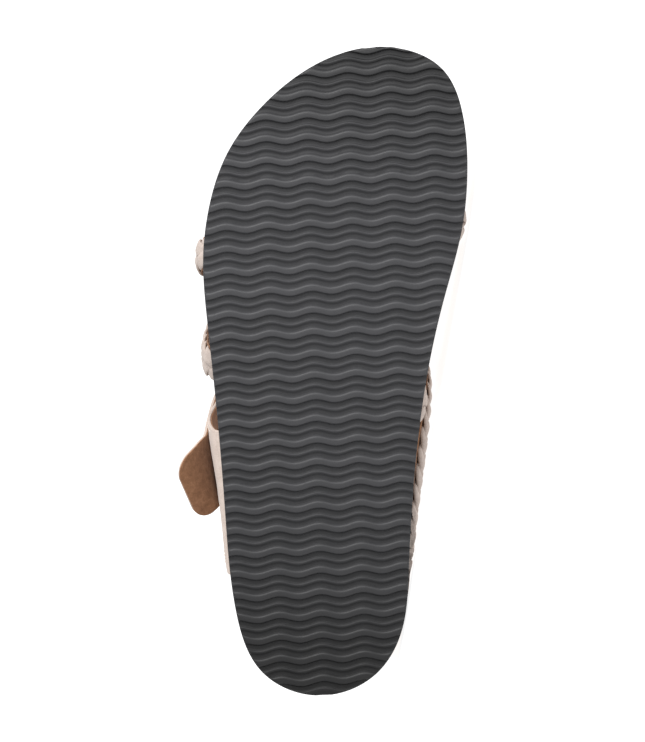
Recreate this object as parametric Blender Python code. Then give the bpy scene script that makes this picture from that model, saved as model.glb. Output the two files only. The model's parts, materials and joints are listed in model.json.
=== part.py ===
"""Toe loop sandal for the right foot, lying on its inner side.

The sandal is modelled in its own axes: X from the heel to the toe, Y towards the inner side of the foot,
Z up from the tread of the standing sandal. An empty then lays it down on the inner side, where it rests on
the edge of its sole and on its straps. The outer side is the little toe's side.
"""

import math

import bmesh
import bpy
import numpy as np
from mathutils import Matrix, Vector

MM = 0.001

# Driving dimensions, in metres
LENGTH = 252.6 * MM
BALL_WIDTH = 100.0 * MM
OUTSOLE_THICKNESS = 9.0 * MM
TOE_SPRING = 6.0 * MM
SPRING_START = 0.74
FIT_GAP = 0.3 * MM

# Outsole edge and its wave tread: ribs run across, and channels are cut between them
EDGE_ROUND = 0.9 * MM
TREAD_PITCH = 8.44 * MM
TREAD_START = 2.03 * MM
TREAD_SKEW = 0.0507
CHANNEL_MOUTH = 5.6 * MM
CHANNEL_FLOOR = 4.6 * MM
CHANNEL_DEPTH = 1.2 * MM
CHANNEL_OVERHANG = 12.0 * MM
WAVE_LENGTH = 16.3 * MM
WAVE_HEIGHT = 0.77 * MM
WAVE_SHIFT = 13.55 * MM
WAVE_DRIFT = -0.0296
WAVE_STEPS = 4

# Footbed and its lining
BED_INSET = 1.4 * MM
RIM_INSET = 3.2 * MM
DISH_POWER = 3.5
END_DISH = 30.0 * MM
LINING_THICKNESS = 1.3 * MM
LINING_INSET = 3.8 * MM

# Straps
BRAID_HALF_WIDTH = 6.6 * MM
BRAID_WALL = 2.0 * MM
BRAID_RELIEF = 1.5 * MM
BRAID_PERIOD = 22.0 * MM
BRAID_STEP = 2.5 * MM
BRAID_END = 9.0 * MM
BRAID_COLUMNS = 4
PLAIN_WIDTH = 0.86
STRAND_SWING = 0.56
STRAND_WIDTH = 0.50
STRAND_LEVEL = 0.62
INSTEP_PLAIN_START = 24.0 * MM
INSTEP_PLAIN_END = 16.0 * MM
LEATHER = 1.9 * MM
TAB_HALF_WIDTH = 14.7 * MM
TAB_CORNER = 8.6 * MM
TAB_NOSE = 0.98
TAB_TWIST = math.radians(22)
TAB_FREE = 19.0 * MM
STRAP_TAPER = 2.1 * MM
STRAP_STEP = 4.0 * MM
STRAP_COLUMNS = 4
PANEL_ROWS = 11
PANEL_COLUMNS = 9
CROSSING_LIFT = 1.5 * MM
CROSSING_REACH = 10.0 * MM

# The upper's form: side and crown exponents of its sections, and where the sides bulge most
SIDE_POWER = 0.66
CROWN_POWER = 0.83
BULGE_CREST = 0.30

# Grid of the sole: stations along it, how far they crowd towards the round ends, columns across
STATIONS = 28
END_CROWDING = 0.86
END_TRIM = 0.25 * MM
BED_COLUMNS = 7
OUTLINE_STEPS = 720
OUTLINE_WRAP = 4
SHARP_ANGLE = 35.0

# Sole outline: landmark, share of LENGTH from the heel, share of BALL_WIDTH towards the inner side
OUTLINE = (
    ("heel back", 0.000, -0.008),
    ("heel outer quarter", 0.038, -0.230),
    ("heel outer", 0.127, -0.326),
    ("waist outer", 0.279, -0.369),
    ("midfoot outer", 0.445, -0.404),
    ("behind ball outer", 0.575, -0.439),
    ("ball outer", 0.677, -0.455),
    ("fifth toe", 0.751, -0.433),
    ("fourth toe", 0.834, -0.363),
    ("third toe", 0.908, -0.226),
    ("second toe", 0.964, -0.055),
    ("toe tip", 1.000, 0.257),
    ("big toe end", 0.964, 0.480),
    ("big toe", 0.890, 0.558),
    ("big toe root", 0.806, 0.573),
    ("ball inner", 0.723, 0.554),
    ("behind ball inner", 0.612, 0.483),
    ("midfoot inner", 0.501, 0.420),
    ("waist inner", 0.334, 0.366),
    ("arch end inner", 0.192, 0.345),
    ("heel inner", 0.103, 0.320),
    ("heel inner quarter", 0.038, 0.230),
)

# Footbed top, in mm above the tread: share of LENGTH, middle, outer rim, inner rim
FOOTBED = (
    (0.00, 24.5, 32.0, 32.0),
    (0.06, 24.0, 32.0, 32.0),
    (0.16, 23.0, 31.5, 32.0),
    (0.30, 23.5, 30.0, 34.0),
    (0.42, 24.5, 28.0, 35.0),
    (0.55, 23.0, 26.0, 31.0),
    (0.68, 20.0, 25.0, 26.5),
    (0.80, 19.2, 24.0, 24.5),
    (0.92, 19.8, 23.5, 24.0),
    (1.00, 20.4, 23.5, 24.0),
)

# Sections of the upper: share of LENGTH, height above the strap joint, outer bulge, inner bulge, in mm
SECTIONS = (
    (0.10, 100.0, 0.8, -1.2),
    (0.20, 96.0, 1.4, -1.2),
    (0.32, 90.0, 2.6, -0.4),
    (0.42, 81.0, 4.2, 0.6),
    (0.52, 71.0, 2.5, 0.5),
    (0.62, 60.0, 2.0, -0.2),
    (0.72, 50.0, 1.4, -1.0),
    (0.85, 40.0, 0.4, -1.0),
)

# Braids that cross the forefoot: share of LENGTH at the outer joint and at the inner joint, lean at the top
FRONT_CROSS = (0.682, 0.437, 12.0 * MM)
REAR_CROSS = (0.506, 0.728, 12.0 * MM)
BELOW_JOINT = 9.0

# Instep braid from the inner heel to the top: share of LENGTH, turn in degrees, height over the form in mm
INSTEP_BRAID = (
    (0.150, 184.0, 0.0),
    (0.214, 180.0, 0.0),
    (0.297, 177.6, 0.9),
    (0.384, 174.8, 1.3),
    (0.443, 168.5, 0.4),
    (0.491, 154.5, 0.0),
    (0.519, 126.0, 0.0),
    (0.520, 92.0, 0.0),
    (0.515, 82.0, 0.0),
)

# Closing strap from the top to the free tab: share of LENGTH, turn in degrees, height over the form in mm
CLOSING_STRAP = (
    (0.521, 97.0, 3.8),
    (0.513, 80.0, 2.7),
    (0.482, 60.0, 2.4),
    (0.430, 40.0, 2.4),
    (0.370, 25.1, 2.8),
    (0.3416, 14.8, 4.3),
    (0.315, 9.9, 13.7),
)

# Outer side panel: turn in degrees, rear edge and front edge as shares of LENGTH
SIDE_PANEL = (
    (0.0, 0.181, 0.405),
    (8.0, 0.205, 0.420),
    (20.0, 0.265, 0.440),
    (36.0, 0.345, 0.470),
    (50.0, 0.405, 0.490),
)

# Toe loop: share of LENGTH, distances towards the inner side of its two feet, height over the footbed
TOE_LOOP_ALONG = 0.795
TOE_LOOP_LEAN = 7.0 * MM
TOE_LOOP_FEET = (19.0 * MM, 46.0 * MM)
TOE_LOOP_HEIGHT = 27.0 * MM
TOE_LOOP_HALF_WIDTH = 5.4 * MM
TOE_LOOP_ROUND = 0.8
TOE_LOOP_CENTRE = 0.3
TOE_LOOP_STEPS = 24
SLOT_ROOM = Vector((1.6 * MM, 2.4 * MM, 14.0 * MM))

# Material: colour, roughness
FINISHES = {
    "charcoal_rubber": ((0.055, 0.055, 0.060), 0.55),
    "cork": ((0.42, 0.27, 0.15), 0.85),
    "brown_suede": ((0.17, 0.085, 0.045), 0.95),
    "blush_leather": ((0.68, 0.56, 0.50), 0.50),
}


def smooth(knots, values, at):
    """Natural cubic curve through the values at the knots."""
    knots = np.asarray(knots, float)
    values = np.asarray(values, float)
    at = np.asarray(at, float)
    gaps = np.diff(knots)
    system = np.eye(len(knots))
    change = np.zeros_like(values)
    for i in range(1, len(knots) - 1):
        system[i, i - 1 : i + 2] = gaps[i - 1], 2 * (gaps[i - 1] + gaps[i]), gaps[i]
        change[i] = 6 * ((values[i + 1] - values[i]) / gaps[i] - (values[i] - values[i - 1]) / gaps[i - 1])
    bend = np.linalg.solve(system, change)
    k = np.clip(np.searchsorted(knots, at) - 1, 0, len(gaps) - 1)
    gap = gaps[k]
    after = at - knots[k]
    before = knots[k + 1] - at
    if values.ndim > 1:
        gap, after, before = gap[:, None], after[:, None], before[:, None]
    return (
        (bend[k] * before**3 + bend[k + 1] * after**3) / (6 * gap)
        + (values[k] / gap - bend[k] * gap / 6) * before
        + (values[k + 1] / gap - bend[k + 1] * gap / 6) * after
    )


def lengths_along(points):
    return np.concatenate([[0.0], np.cumsum(np.linalg.norm(np.diff(points, axis=0), axis=1))])


def sole_edges():
    """The outer and the inner edge of the sole, heel to toe: along, across and the inward normal."""
    marks = np.array([(along * LENGTH, across * BALL_WIDTH) for _, along, across in OUTLINE])
    wrapped = np.vstack([marks[-OUTLINE_WRAP:], marks, marks[: OUTLINE_WRAP + 1]])
    reach = lengths_along(wrapped)
    at = np.linspace(reach[OUTLINE_WRAP], reach[OUTLINE_WRAP + len(marks)], OUTLINE_STEPS + 1)[:-1]
    points = smooth(reach, wrapped, at)
    points = np.roll(points, -int(np.argmin(points[:, 0])), axis=0)
    points[:, 0] -= points[0, 0]
    points[:, 0] *= LENGTH / points[:, 0].max()
    ahead = np.roll(points, -1, axis=0) - np.roll(points, 1, axis=0)
    ahead /= np.linalg.norm(ahead, axis=1)[:, None]
    rows = np.hstack([points, -ahead[:, 1:], ahead[:, :1]])
    toe = int(np.argmax(points[:, 0]))
    if rows[toe // 2, 1] > 0:
        rows = rows[::-1]
    return rows[: toe + 1], np.vstack([rows[toe:], rows[:1]])[::-1]


OUTER_EDGE, INNER_EDGE = sole_edges()
INWARD = np.sign(OUTER_EDGE[len(OUTER_EDGE) // 2, 3])


def on_edge(edge, along, inset=0.0):
    """Points of a sole edge moved inwards by inset, as along and across."""
    x, y, nx, ny = (np.interp(along, edge[:, 0], edge[:, i]) for i in range(4))
    return x + INWARD * inset * nx, y + INWARD * inset * ny


def spring(along):
    return TOE_SPRING * np.clip((along / LENGTH - SPRING_START) / (1 - SPRING_START), 0, None) ** 2


def station_places():
    """Stations from heel to toe, closer together near the round ends."""
    t = np.linspace(0, 1, STATIONS + 1)
    share = t - END_CROWDING * np.sin(2 * math.pi * t) / (2 * math.pi)
    return END_TRIM + share * (LENGTH - 2 * END_TRIM)


def sole_grid(inset, columns, height):
    """Grid of points inside the sole outline; height gets the places along and -1 to 1 across."""
    along = station_places()
    outer = np.stack(on_edge(OUTER_EDGE, along, inset), axis=1)
    inner = np.stack(on_edge(INNER_EDGE, along, inset), axis=1)
    across = np.linspace(-1, 1, columns)
    share = (across[None, :, None] + 1) / 2
    flat = outer[:, None] * (1 - share) + inner[:, None] * share
    z = height(flat[..., 0], np.broadcast_to(across, flat.shape[:2])) + spring(flat[..., 0])
    return np.dstack([flat, z])


def bed_height(along, across):
    """Footbed top above the tread: a dish inside a rim that also goes round the heel and the toe."""
    table = np.array(FOOTBED)
    shape = along.shape
    middle, outer, inner = (smooth(table[:, 0], table[:, i], along.ravel() / LENGTH) for i in (1, 2, 3))
    middle, outer, inner = (row.reshape(shape) * MM for row in (middle, outer, inner))
    rim = outer + (inner - outer) * (across + 1) / 2
    to_end = np.minimum(along, LENGTH - along) - RIM_INSET
    edge = np.maximum(np.abs(across), np.clip(1 - to_end / END_DISH, 0, 1))
    return middle + (rim - middle) * edge**DISH_POWER


def bed_point(along, across_place):
    """Footbed top at one place, as a height above the tread."""
    low = on_edge(OUTER_EDGE, along, RIM_INSET)[1]
    high = on_edge(INNER_EDGE, along, RIM_INSET)[1]
    across = 2 * (across_place - low) / (high - low) - 1
    columns = np.linspace(-1, 1, BED_COLUMNS)
    heights = bed_height(np.full(BED_COLUMNS, along), columns)
    return float(np.interp(across, columns, heights) + spring(along))


JOINT = OUTSOLE_THICKNESS + FIT_GAP


def form_point(along, turn):
    """Point of the upper's form; turn runs from 0 at the outer joint over the foot to pi at the inner one."""
    table = np.array(SECTIONS)
    height, outer_bulge, inner_bulge = (
        smooth(table[:, 0], table[:, i], along / LENGTH) * MM for i in (1, 2, 3)
    )
    clear = BED_INSET - FIT_GAP
    low = on_edge(OUTER_EDGE, along, clear)[1]
    high = on_edge(INNER_EDGE, along, clear)[1]
    up = np.clip(np.sin(turn), 0, None) ** CROWN_POWER
    swing = np.cos(turn)
    side = np.sign(swing) * np.abs(swing) ** SIDE_POWER
    below = np.clip(-turn, 0, None) + np.clip(turn - math.pi, 0, None)
    side = np.where(below > 0, np.sign(swing), side)
    bulge = np.where(swing > 0, outer_bulge, inner_bulge)
    crest = 1 / BULGE_CREST - 1
    shape = up * (1 - up) ** crest / (BULGE_CREST * (1 - BULGE_CREST) ** crest)
    y = (low + high) / 2 - side * (high - low) / 2 - np.sign(swing) * bulge * shape
    z = JOINT + up * height - below * height
    return np.stack([along, y, z], axis=-1)


def form_normal(along, turn):
    """Outward normal of the form, from small steps along it and around it."""
    step_along = 1.0 * MM
    step_turn = 0.02
    ahead = form_point(along + step_along, turn) - form_point(along - step_along, turn)
    around = form_point(along, turn + step_turn) - form_point(along, turn - step_turn)
    normal = np.cross(around, ahead)
    normal *= np.sign(np.sum(normal * outward(along, turn), axis=-1))[..., None]
    return normal / np.linalg.norm(normal, axis=-1)[..., None]


def outward(along, turn):
    """Rough outward direction, which settles the sign of a normal."""
    return np.stack([np.zeros_like(along), -np.cos(turn), np.clip(np.sin(turn), 0, None)], axis=-1)


def resampled(rows, step):
    """Rows of along, turn and more, evenly spaced over the form."""
    rows = np.asarray(rows, float)
    dense = smooth(np.arange(len(rows)), rows, np.linspace(0, len(rows) - 1, 60 * len(rows)))
    reach = lengths_along(form_point(dense[:, 0], dense[:, 1]))
    count = max(2, round(reach[-1] / step)) + 1
    at = np.linspace(0, reach[-1], count)
    return np.stack([np.interp(at, reach, column) for column in dense.T], axis=1)


def cross_route(outer, inner, lean):
    """Route of a braid over the forefoot, from below the outer joint to below the inner joint."""
    turn = np.radians(np.linspace(-BELOW_JOINT, 180 + BELOW_JOINT, 15))
    share = turn / math.pi
    along = LENGTH * (outer + (inner - outer) * share) + lean * np.sin(turn)
    return resampled(np.stack([along, turn], axis=1), BRAID_STEP)


def table_route(table, step):
    """Route over the form from a table of share of LENGTH, turn in degrees and values in mm."""
    rows = [(along * LENGTH, math.radians(turn), *np.multiply(rest, MM)) for along, turn, *rest in table]
    return resampled(rows, step)


def braid_relief(reach, across):
    """Height of a three-strand braid, 0 to 1, at places along it and -1 to 1 across it."""
    level = np.zeros(np.broadcast(reach, across).shape)
    for strand in range(3):
        angle = 2 * math.pi * (reach / BRAID_PERIOD + strand / 3)
        offset = (across - STRAND_SWING * np.sin(angle)) / STRAND_WIDTH
        lift = STRAND_LEVEL + (1 - STRAND_LEVEL) * np.sin(2 * angle)
        level = np.maximum(level, lift * np.sqrt(np.clip(1 - offset**2, 0, None)))
    return level


def braid_edge(reach, side):
    """Scalloped edge of a braid, as a share of its half width."""
    strands = [side * np.sin(2 * math.pi * (reach / BRAID_PERIOD + strand / 3)) for strand in range(3)]
    return 1 - STRAND_SWING + STRAND_SWING * np.max(strands, axis=0)


def strip_layers(points, normals, across, inner, outer):
    """Inner and outer grid of a strip; across, inner and outer are widths and heights on the normal."""
    along = np.gradient(points, axis=0)
    along /= np.linalg.norm(along, axis=1)[:, None]
    sideways = np.cross(normals, along)
    sideways /= np.linalg.norm(sideways, axis=1)[:, None]
    flat = points[:, None] + across[..., None] * sideways[:, None]
    return [flat + level[..., None] * normals[:, None] for level in (inner, outer)]


def braid_layers(points, normals, half_width, lift, plain_start=BRAID_END, plain_end=BRAID_END):
    """A braid as one wall with its strands raised; it thins to a plain end at both ends."""
    reach = lengths_along(points)
    fade = np.clip(np.minimum(reach / plain_start, (reach[-1] - reach) / plain_end), 0, 1)[:, None]
    columns = np.linspace(-1, 1, BRAID_COLUMNS)
    width = np.where(columns < 0, braid_edge(reach, -1)[:, None], braid_edge(reach, 1)[:, None])
    across = columns * half_width * (width * fade + PLAIN_WIDTH * (1 - fade))
    relief = braid_relief(reach[:, None], columns) * fade
    inner = np.broadcast_to(lift[:, None], across.shape)
    wall = BRAID_WALL * (1 + fade) / 2 + BRAID_RELIEF * relief
    return strip_layers(points, normals, across, inner, inner + wall)


def crossing_lift(points, other):
    """Lift of a strip where it passes over another one."""
    gap = np.linalg.norm(points[:, None] - other[None], axis=2).min(axis=1)
    return CROSSING_LIFT * np.exp(-((gap / CROSSING_REACH) ** 2))


def loft(bm, layers):
    """Adds a closed solid through grids of points, capped by the first grid and the last one."""
    rows, columns = layers[0].shape[:2]
    border = [(i, 0) for i in range(rows)]
    border += [(rows - 1, j) for j in range(1, columns)]
    border += [(i, columns - 1) for i in range(rows - 2, -1, -1)]
    border += [(0, j) for j in range(columns - 2, 0, -1)]
    whole = [(i, j) for i in range(rows) for j in range(columns)]
    made = []
    for layer in layers:
        kept = whole if layer is layers[0] or layer is layers[-1] else border
        made.append({place: bm.verts.new(layer[place]) for place in kept})
    for verts in (made[0], made[-1]):
        for i in range(rows - 1):
            for j in range(columns - 1):
                bm.faces.new([verts[i, j], verts[i + 1, j], verts[i + 1, j + 1], verts[i, j + 1]])
    for low, high in zip(made, made[1:]):
        for here, there in zip(border, border[1:] + border[:1]):
            bm.faces.new([low[here], low[there], high[there], high[here]])


def material(name):
    colour, roughness = FINISHES[name]
    made = bpy.data.materials.get(name) or bpy.data.materials.new(name)
    made.use_nodes = True
    shader = made.node_tree.nodes["Principled BSDF"]
    shader.inputs["Base Color"].default_value = (*colour, 1.0)
    shader.inputs["Roughness"].default_value = roughness
    shader.inputs["Metallic"].default_value = 0.0
    return made


def finished(name, bm, finish, collection):
    bmesh.ops.recalc_face_normals(bm, faces=bm.faces[:])
    mesh = bpy.data.meshes.new(name)
    bm.to_mesh(mesh)
    bm.free()
    mesh.shade_smooth()
    mesh.set_sharp_from_angle(angle=math.radians(SHARP_ANGLE))
    obj = bpy.data.objects.new(name, mesh)
    collection.objects.link(obj)
    if finish:
        mesh.materials.append(material(finish))
    else:
        obj.hide_render = True
        obj.display_type = "WIRE"
    return obj


def lofted(name, layers, finish, collection):
    bm = bmesh.new()
    loft(bm, layers)
    return finished(name, bm, finish, collection)


def trimmed_at_joint(name, layers, finish, collection):
    """A strip cut level where it enters the joint between outsole and footbed."""
    bm = bmesh.new()
    loft(bm, layers)
    bmesh.ops.bisect_plane(
        bm,
        geom=bm.verts[:] + bm.edges[:] + bm.faces[:],
        plane_co=(0, 0, JOINT),
        plane_no=(0, 0, 1),
        clear_inner=True,
    )
    bmesh.ops.holes_fill(bm, edges=[edge for edge in bm.edges if edge.is_boundary])
    return finished(name, bm, finish, collection)


def boolean(obj, other, operation):
    modifier = obj.modifiers.new(f"{operation.lower()} {other.name}", "BOOLEAN")
    modifier.object = other
    modifier.operation = operation
    modifier.solver = "EXACT"


def tread_channels(collection):
    """Wavy channels between the ribs of the tread, one closed prism for each."""
    bm = bmesh.new()
    step = WAVE_LENGTH / WAVE_STEPS
    profile = ((CHANNEL_MOUTH, -CHANNEL_DEPTH), (CHANNEL_MOUTH, 0.0), (CHANNEL_FLOOR, CHANNEL_DEPTH))
    for middle in np.arange(TREAD_START, LENGTH + TREAD_PITCH, TREAD_PITCH):
        near = np.clip(middle, CHANNEL_MOUTH, LENGTH - CHANNEL_MOUTH)
        low = on_edge(OUTER_EDGE, near)[1] - CHANNEL_OVERHANG
        high = on_edge(INNER_EDGE, near)[1] + CHANNEL_OVERHANG
        shift = WAVE_SHIFT + WAVE_DRIFT * middle
        y = shift + step * np.arange(np.floor((low - shift) / step), np.ceil((high - shift) / step) + 1)
        wave = middle + TREAD_SKEW * y + WAVE_HEIGHT * np.sin(2 * math.pi * (y - shift) / WAVE_LENGTH)
        layers = []
        for width, depth in profile:
            sides = [wave - width / 2, wave + width / 2]
            layers.append(np.stack([np.stack([x, y, depth + spring(x)], axis=1) for x in sides], axis=1))
        loft(bm, layers)
    return finished("tread_channels", bm, None, collection)


def add_outsole(parts, cutters):
    levels = (
        (EDGE_ROUND, 0.0),
        (0.0, EDGE_ROUND),
        (0.0, OUTSOLE_THICKNESS - EDGE_ROUND / 2),
        (EDGE_ROUND / 2, OUTSOLE_THICKNESS),
    )
    layers = [sole_grid(inset, 2, lambda x, v, z=z: np.full(x.shape, z)) for inset, z in levels]
    outsole = lofted("outsole", layers, "charcoal_rubber", parts)
    boolean(outsole, tread_channels(cutters), "DIFFERENCE")
    return outsole


def add_footbed(parts):
    base = sole_grid(BED_INSET, BED_COLUMNS, lambda x, v: np.full(x.shape, JOINT))
    top = sole_grid(RIM_INSET, BED_COLUMNS, bed_height)
    return lofted("footbed", [base, top], "cork", parts)


def add_insole(parts, cutters):
    low = sole_grid(LINING_INSET, BED_COLUMNS, lambda x, v: bed_height(x, v) + FIT_GAP)
    high = sole_grid(LINING_INSET, BED_COLUMNS, lambda x, v: bed_height(x, v) + FIT_GAP + LINING_THICKNESS)
    insole = lofted("insole", [low, high], "brown_suede", parts)
    for number, foot in enumerate(TOE_LOOP_FEET):
        slot = slot_cutter(f"toe_loop_slot_{number + 1}", foot, cutters)
        boolean(insole, slot, "DIFFERENCE")
    return insole


def slot_cutter(name, foot, collection):
    """Box that cuts the lining where a foot of the toe loop goes through."""
    along = TOE_LOOP_ALONG * LENGTH
    bm = bmesh.new()
    size = Vector((2 * TOE_LOOP_HALF_WIDTH, BRAID_WALL + BRAID_RELIEF, 0)) + SLOT_ROOM
    centre = Vector((along, foot, bed_point(along, foot)))
    bmesh.ops.create_cube(bm, size=1.0, matrix=Matrix.Translation(centre) @ Matrix.Diagonal(size).to_4x4())
    return finished(name, bm, None, collection)


def add_braids(parts, cutters):
    """The braided upper: two braids that cross over the forefoot, and the instep braid over one of them."""
    front = cross_route(*FRONT_CROSS)
    rear = cross_route(*REAR_CROSS)
    instep = table_route(INSTEP_BRAID, BRAID_STEP)
    places = [form_point(route[:, 0], route[:, 1]) for route in (front, rear, instep)]
    normals = [form_normal(route[:, 0], route[:, 1]) for route in (front, rear, instep)]
    lifts = [np.zeros(len(front)), crossing_lift(places[1], places[0])]
    lifts.append(instep[:, 2] + crossing_lift(places[2], places[0]))
    names = ("rear_cross_braid", "instep_braid")
    ends = ((BRAID_END, BRAID_END), (INSTEP_PLAIN_START, INSTEP_PLAIN_END))
    layers = braid_layers(places[0], normals[0], BRAID_HALF_WIDTH, lifts[0])
    straps = trimmed_at_joint("braided_straps", layers, "blush_leather", parts)
    helpers = []
    for name, points, normal, lift, plain in zip(names, places[1:], normals[1:], lifts[1:], ends):
        layers = braid_layers(points, normal, BRAID_HALF_WIDTH, lift, *plain)
        helpers.append(trimmed_at_joint(name, layers, None, cutters))
        boolean(straps, helpers[-1], "UNION")
    return [straps, *helpers]


def strap_line():
    """Middle line of the closing strap's inner face and its normals, which turn outwards at the free tab."""
    route = table_route(CLOSING_STRAP, STRAP_STEP)
    normals = form_normal(route[:, 0], route[:, 1])
    points = form_point(route[:, 0], route[:, 1]) + route[:, 2:3] * normals
    ahead = np.gradient(points, axis=0)
    ahead /= np.linalg.norm(ahead, axis=1)[:, None]
    normals -= np.sum(normals * ahead, axis=1)[:, None] * ahead
    normals /= np.linalg.norm(normals, axis=1)[:, None]
    reach = lengths_along(points)
    free = np.clip(1 - (reach[-1] - reach) / TAB_FREE, 0, 1)
    twist = TAB_TWIST * free[:, None]
    return reach, points, normals * np.cos(twist) - np.cross(normals, ahead) * np.sin(twist)


def add_closing_strap(parts):
    """Plain strap over the instep, sewn over the instep braid, with a free tab on the outer side."""
    reach, points, normals = strap_line()
    left = reach[-1] - reach
    nose = np.clip(1 - left / TAB_CORNER, 0, 1)
    rounding = TAB_CORNER * (1 - np.sqrt(1 - TAB_NOSE * nose**2))
    half = TAB_HALF_WIDTH - STRAP_TAPER * left / reach[-1] - rounding
    across = np.linspace(-1, 1, STRAP_COLUMNS) * half[:, None]
    layers = strip_layers(points, normals, across, np.zeros_like(across), np.full_like(across, LEATHER))
    return lofted("closing_strap", layers, "blush_leather", parts)


def add_side_panel(parts):
    """Plain quarter on the outer side, a patch of the form between its rear and its front edge."""
    table = np.array(SIDE_PANEL)
    turn = np.linspace(table[0, 0], table[-1, 0], PANEL_COLUMNS)
    rear = smooth(table[:, 0], table[:, 1], turn) * LENGTH
    front = smooth(table[:, 0], table[:, 2], turn) * LENGTH
    share = np.linspace(0, 1, PANEL_ROWS)[:, None]
    along = rear * (1 - share) + front * share
    around = np.broadcast_to(np.radians(turn), along.shape)
    inner = form_point(along, around)
    outward_now = form_normal(along, around)
    outward_now[:, 0] = (0.0, -1.0, 0.0)
    return lofted("side_panel", [inner, inner + LEATHER * outward_now], "blush_leather", parts)


def add_toe_loop(parts):
    """Braided arch over the big toe; its two feet go through the lining onto the footbed."""
    first, last = TOE_LOOP_FEET
    along = TOE_LOOP_ALONG * LENGTH
    ends = (-TOE_LOOP_HALF_WIDTH, TOE_LOOP_HALF_WIDTH)
    thick = BRAID_WALL + BRAID_RELIEF
    feet = [
        FIT_GAP + max(bed_point(along + end, foot + outer) for end in ends for outer in (0, side * thick))
        for foot, side in ((first, -1), (last, 1))
    ]
    turn = np.linspace(0, math.pi, TOE_LOOP_STEPS + 1)
    up = np.sin(turn) ** TOE_LOOP_ROUND
    swing = np.sign(np.cos(turn)) * np.abs(np.cos(turn)) ** TOE_LOOP_ROUND
    across = (first + last) / 2 - swing * (last - first) / 2
    base = np.interp(across, (first, last), feet)
    points = np.stack([along + TOE_LOOP_LEAN * up**2, across, base + TOE_LOOP_HEIGHT * up], axis=1)
    centre = np.full(len(turn), (first + last) / 2)
    middle = np.stack([points[:, 0], centre, base + TOE_LOOP_CENTRE * TOE_LOOP_HEIGHT], axis=1)
    outward_now = points - middle
    outward_now[:, 2] = np.clip(outward_now[:, 2], 0, None)
    ahead = np.gradient(points, axis=0)
    ahead /= np.linalg.norm(ahead, axis=1)[:, None]
    outward_now -= np.sum(outward_now * ahead, axis=1)[:, None] * ahead
    outward_now /= np.linalg.norm(outward_now, axis=1)[:, None]
    layers = braid_layers(points, outward_now, TOE_LOOP_HALF_WIDTH, np.zeros(len(points)))
    return lofted("toe_loop", layers, "blush_leather", parts)


def lying_pose(objects):
    """Matrix that lays the sandal on the face of its hull where it rests on the inner side."""
    points = [vertex.co.copy() for obj in objects for vertex in obj.data.vertices]
    centre, volume = Vector(), 0.0
    for obj in objects:
        obj.data.calc_loop_triangles()
        for triangle in obj.data.loop_triangles:
            a, b, c = (obj.data.vertices[i].co for i in triangle.vertices)
            part = a.dot(b.cross(c)) / 6
            centre += part * (a + b + c) / 4
            volume += part
    centre /= volume
    hull = bmesh.new()
    for point in points:
        hull.verts.new(point)
    bmesh.ops.convex_hull(hull, input=hull.verts[:], use_existing_faces=False)
    resting = [face for face in hull.faces if under(centre, face)]
    down = max((face.normal.copy() for face in resting), key=lambda normal: normal.y)
    hull.free()
    up = -down
    back = (Vector((0, 0, 1)) - up.z * up).normalized()
    turn = Matrix((back.cross(up), back, up))
    laid = np.array([turn @ point for point in points])
    low, high = laid.min(axis=0), laid.max(axis=0)
    shift = Vector((-(low[0] + high[0]) / 2, -(low[1] + high[1]) / 2, -low[2]))
    return Matrix.Translation(shift) @ turn.to_4x4()


def under(centre, face):
    """Whether a body with this centre of mass rests on the face without tipping."""
    corners = [vertex.co for vertex in face.verts]
    for here, there in zip(corners, corners[1:] + corners[:1]):
        if face.normal.dot((there - here).cross(centre - here)) < 0:
            return False
    return True


def main():
    for obj in list(bpy.data.objects):
        bpy.data.objects.remove(obj)
    parts = bpy.data.collections.new("toe_loop_sandal")
    cutters = bpy.data.collections.new("cutters")
    for collection in (parts, cutters):
        bpy.context.scene.collection.children.link(collection)
    braids = add_braids(parts, cutters)
    pieces = [add_outsole(parts, cutters), add_footbed(parts), add_insole(parts, cutters), *braids]
    pieces += [add_closing_strap(parts), add_side_panel(parts), add_toe_loop(parts)]
    floor = bpy.data.objects.new("lying_on_inner_side", None)
    parts.objects.link(floor)
    floor.matrix_world = lying_pose(pieces)
    for obj in (*parts.objects, *cutters.objects):
        if obj is not floor:
            obj.parent = floor


main()
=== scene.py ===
"""Looks of a right toe loop sandal that lies on its inner side, seen square on to its tread.

Shapes are worked out in the sandal's own axes: X from the heel to the toe, Y towards the inner side of the
foot, Z up from the tread. The two mounts on the tread say where those axes lie in the row's frame. The outer
side is the little toe's side.
"""

import json
import math
from contextlib import contextmanager

import bpy
import numpy as np
from mathutils import Matrix, Vector


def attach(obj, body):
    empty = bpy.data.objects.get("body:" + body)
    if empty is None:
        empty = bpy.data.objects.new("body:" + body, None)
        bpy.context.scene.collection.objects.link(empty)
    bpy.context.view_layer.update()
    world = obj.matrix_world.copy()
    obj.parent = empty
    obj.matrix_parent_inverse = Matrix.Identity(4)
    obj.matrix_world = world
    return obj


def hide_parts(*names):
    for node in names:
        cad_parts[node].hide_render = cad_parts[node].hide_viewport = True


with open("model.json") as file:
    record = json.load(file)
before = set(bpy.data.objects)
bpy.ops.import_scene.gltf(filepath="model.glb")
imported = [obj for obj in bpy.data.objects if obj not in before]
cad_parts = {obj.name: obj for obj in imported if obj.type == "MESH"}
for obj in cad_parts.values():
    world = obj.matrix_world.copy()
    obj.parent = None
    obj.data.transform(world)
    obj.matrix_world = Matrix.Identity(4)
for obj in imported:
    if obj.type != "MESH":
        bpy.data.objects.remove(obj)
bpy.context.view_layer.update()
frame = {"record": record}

MM = 0.001

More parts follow.
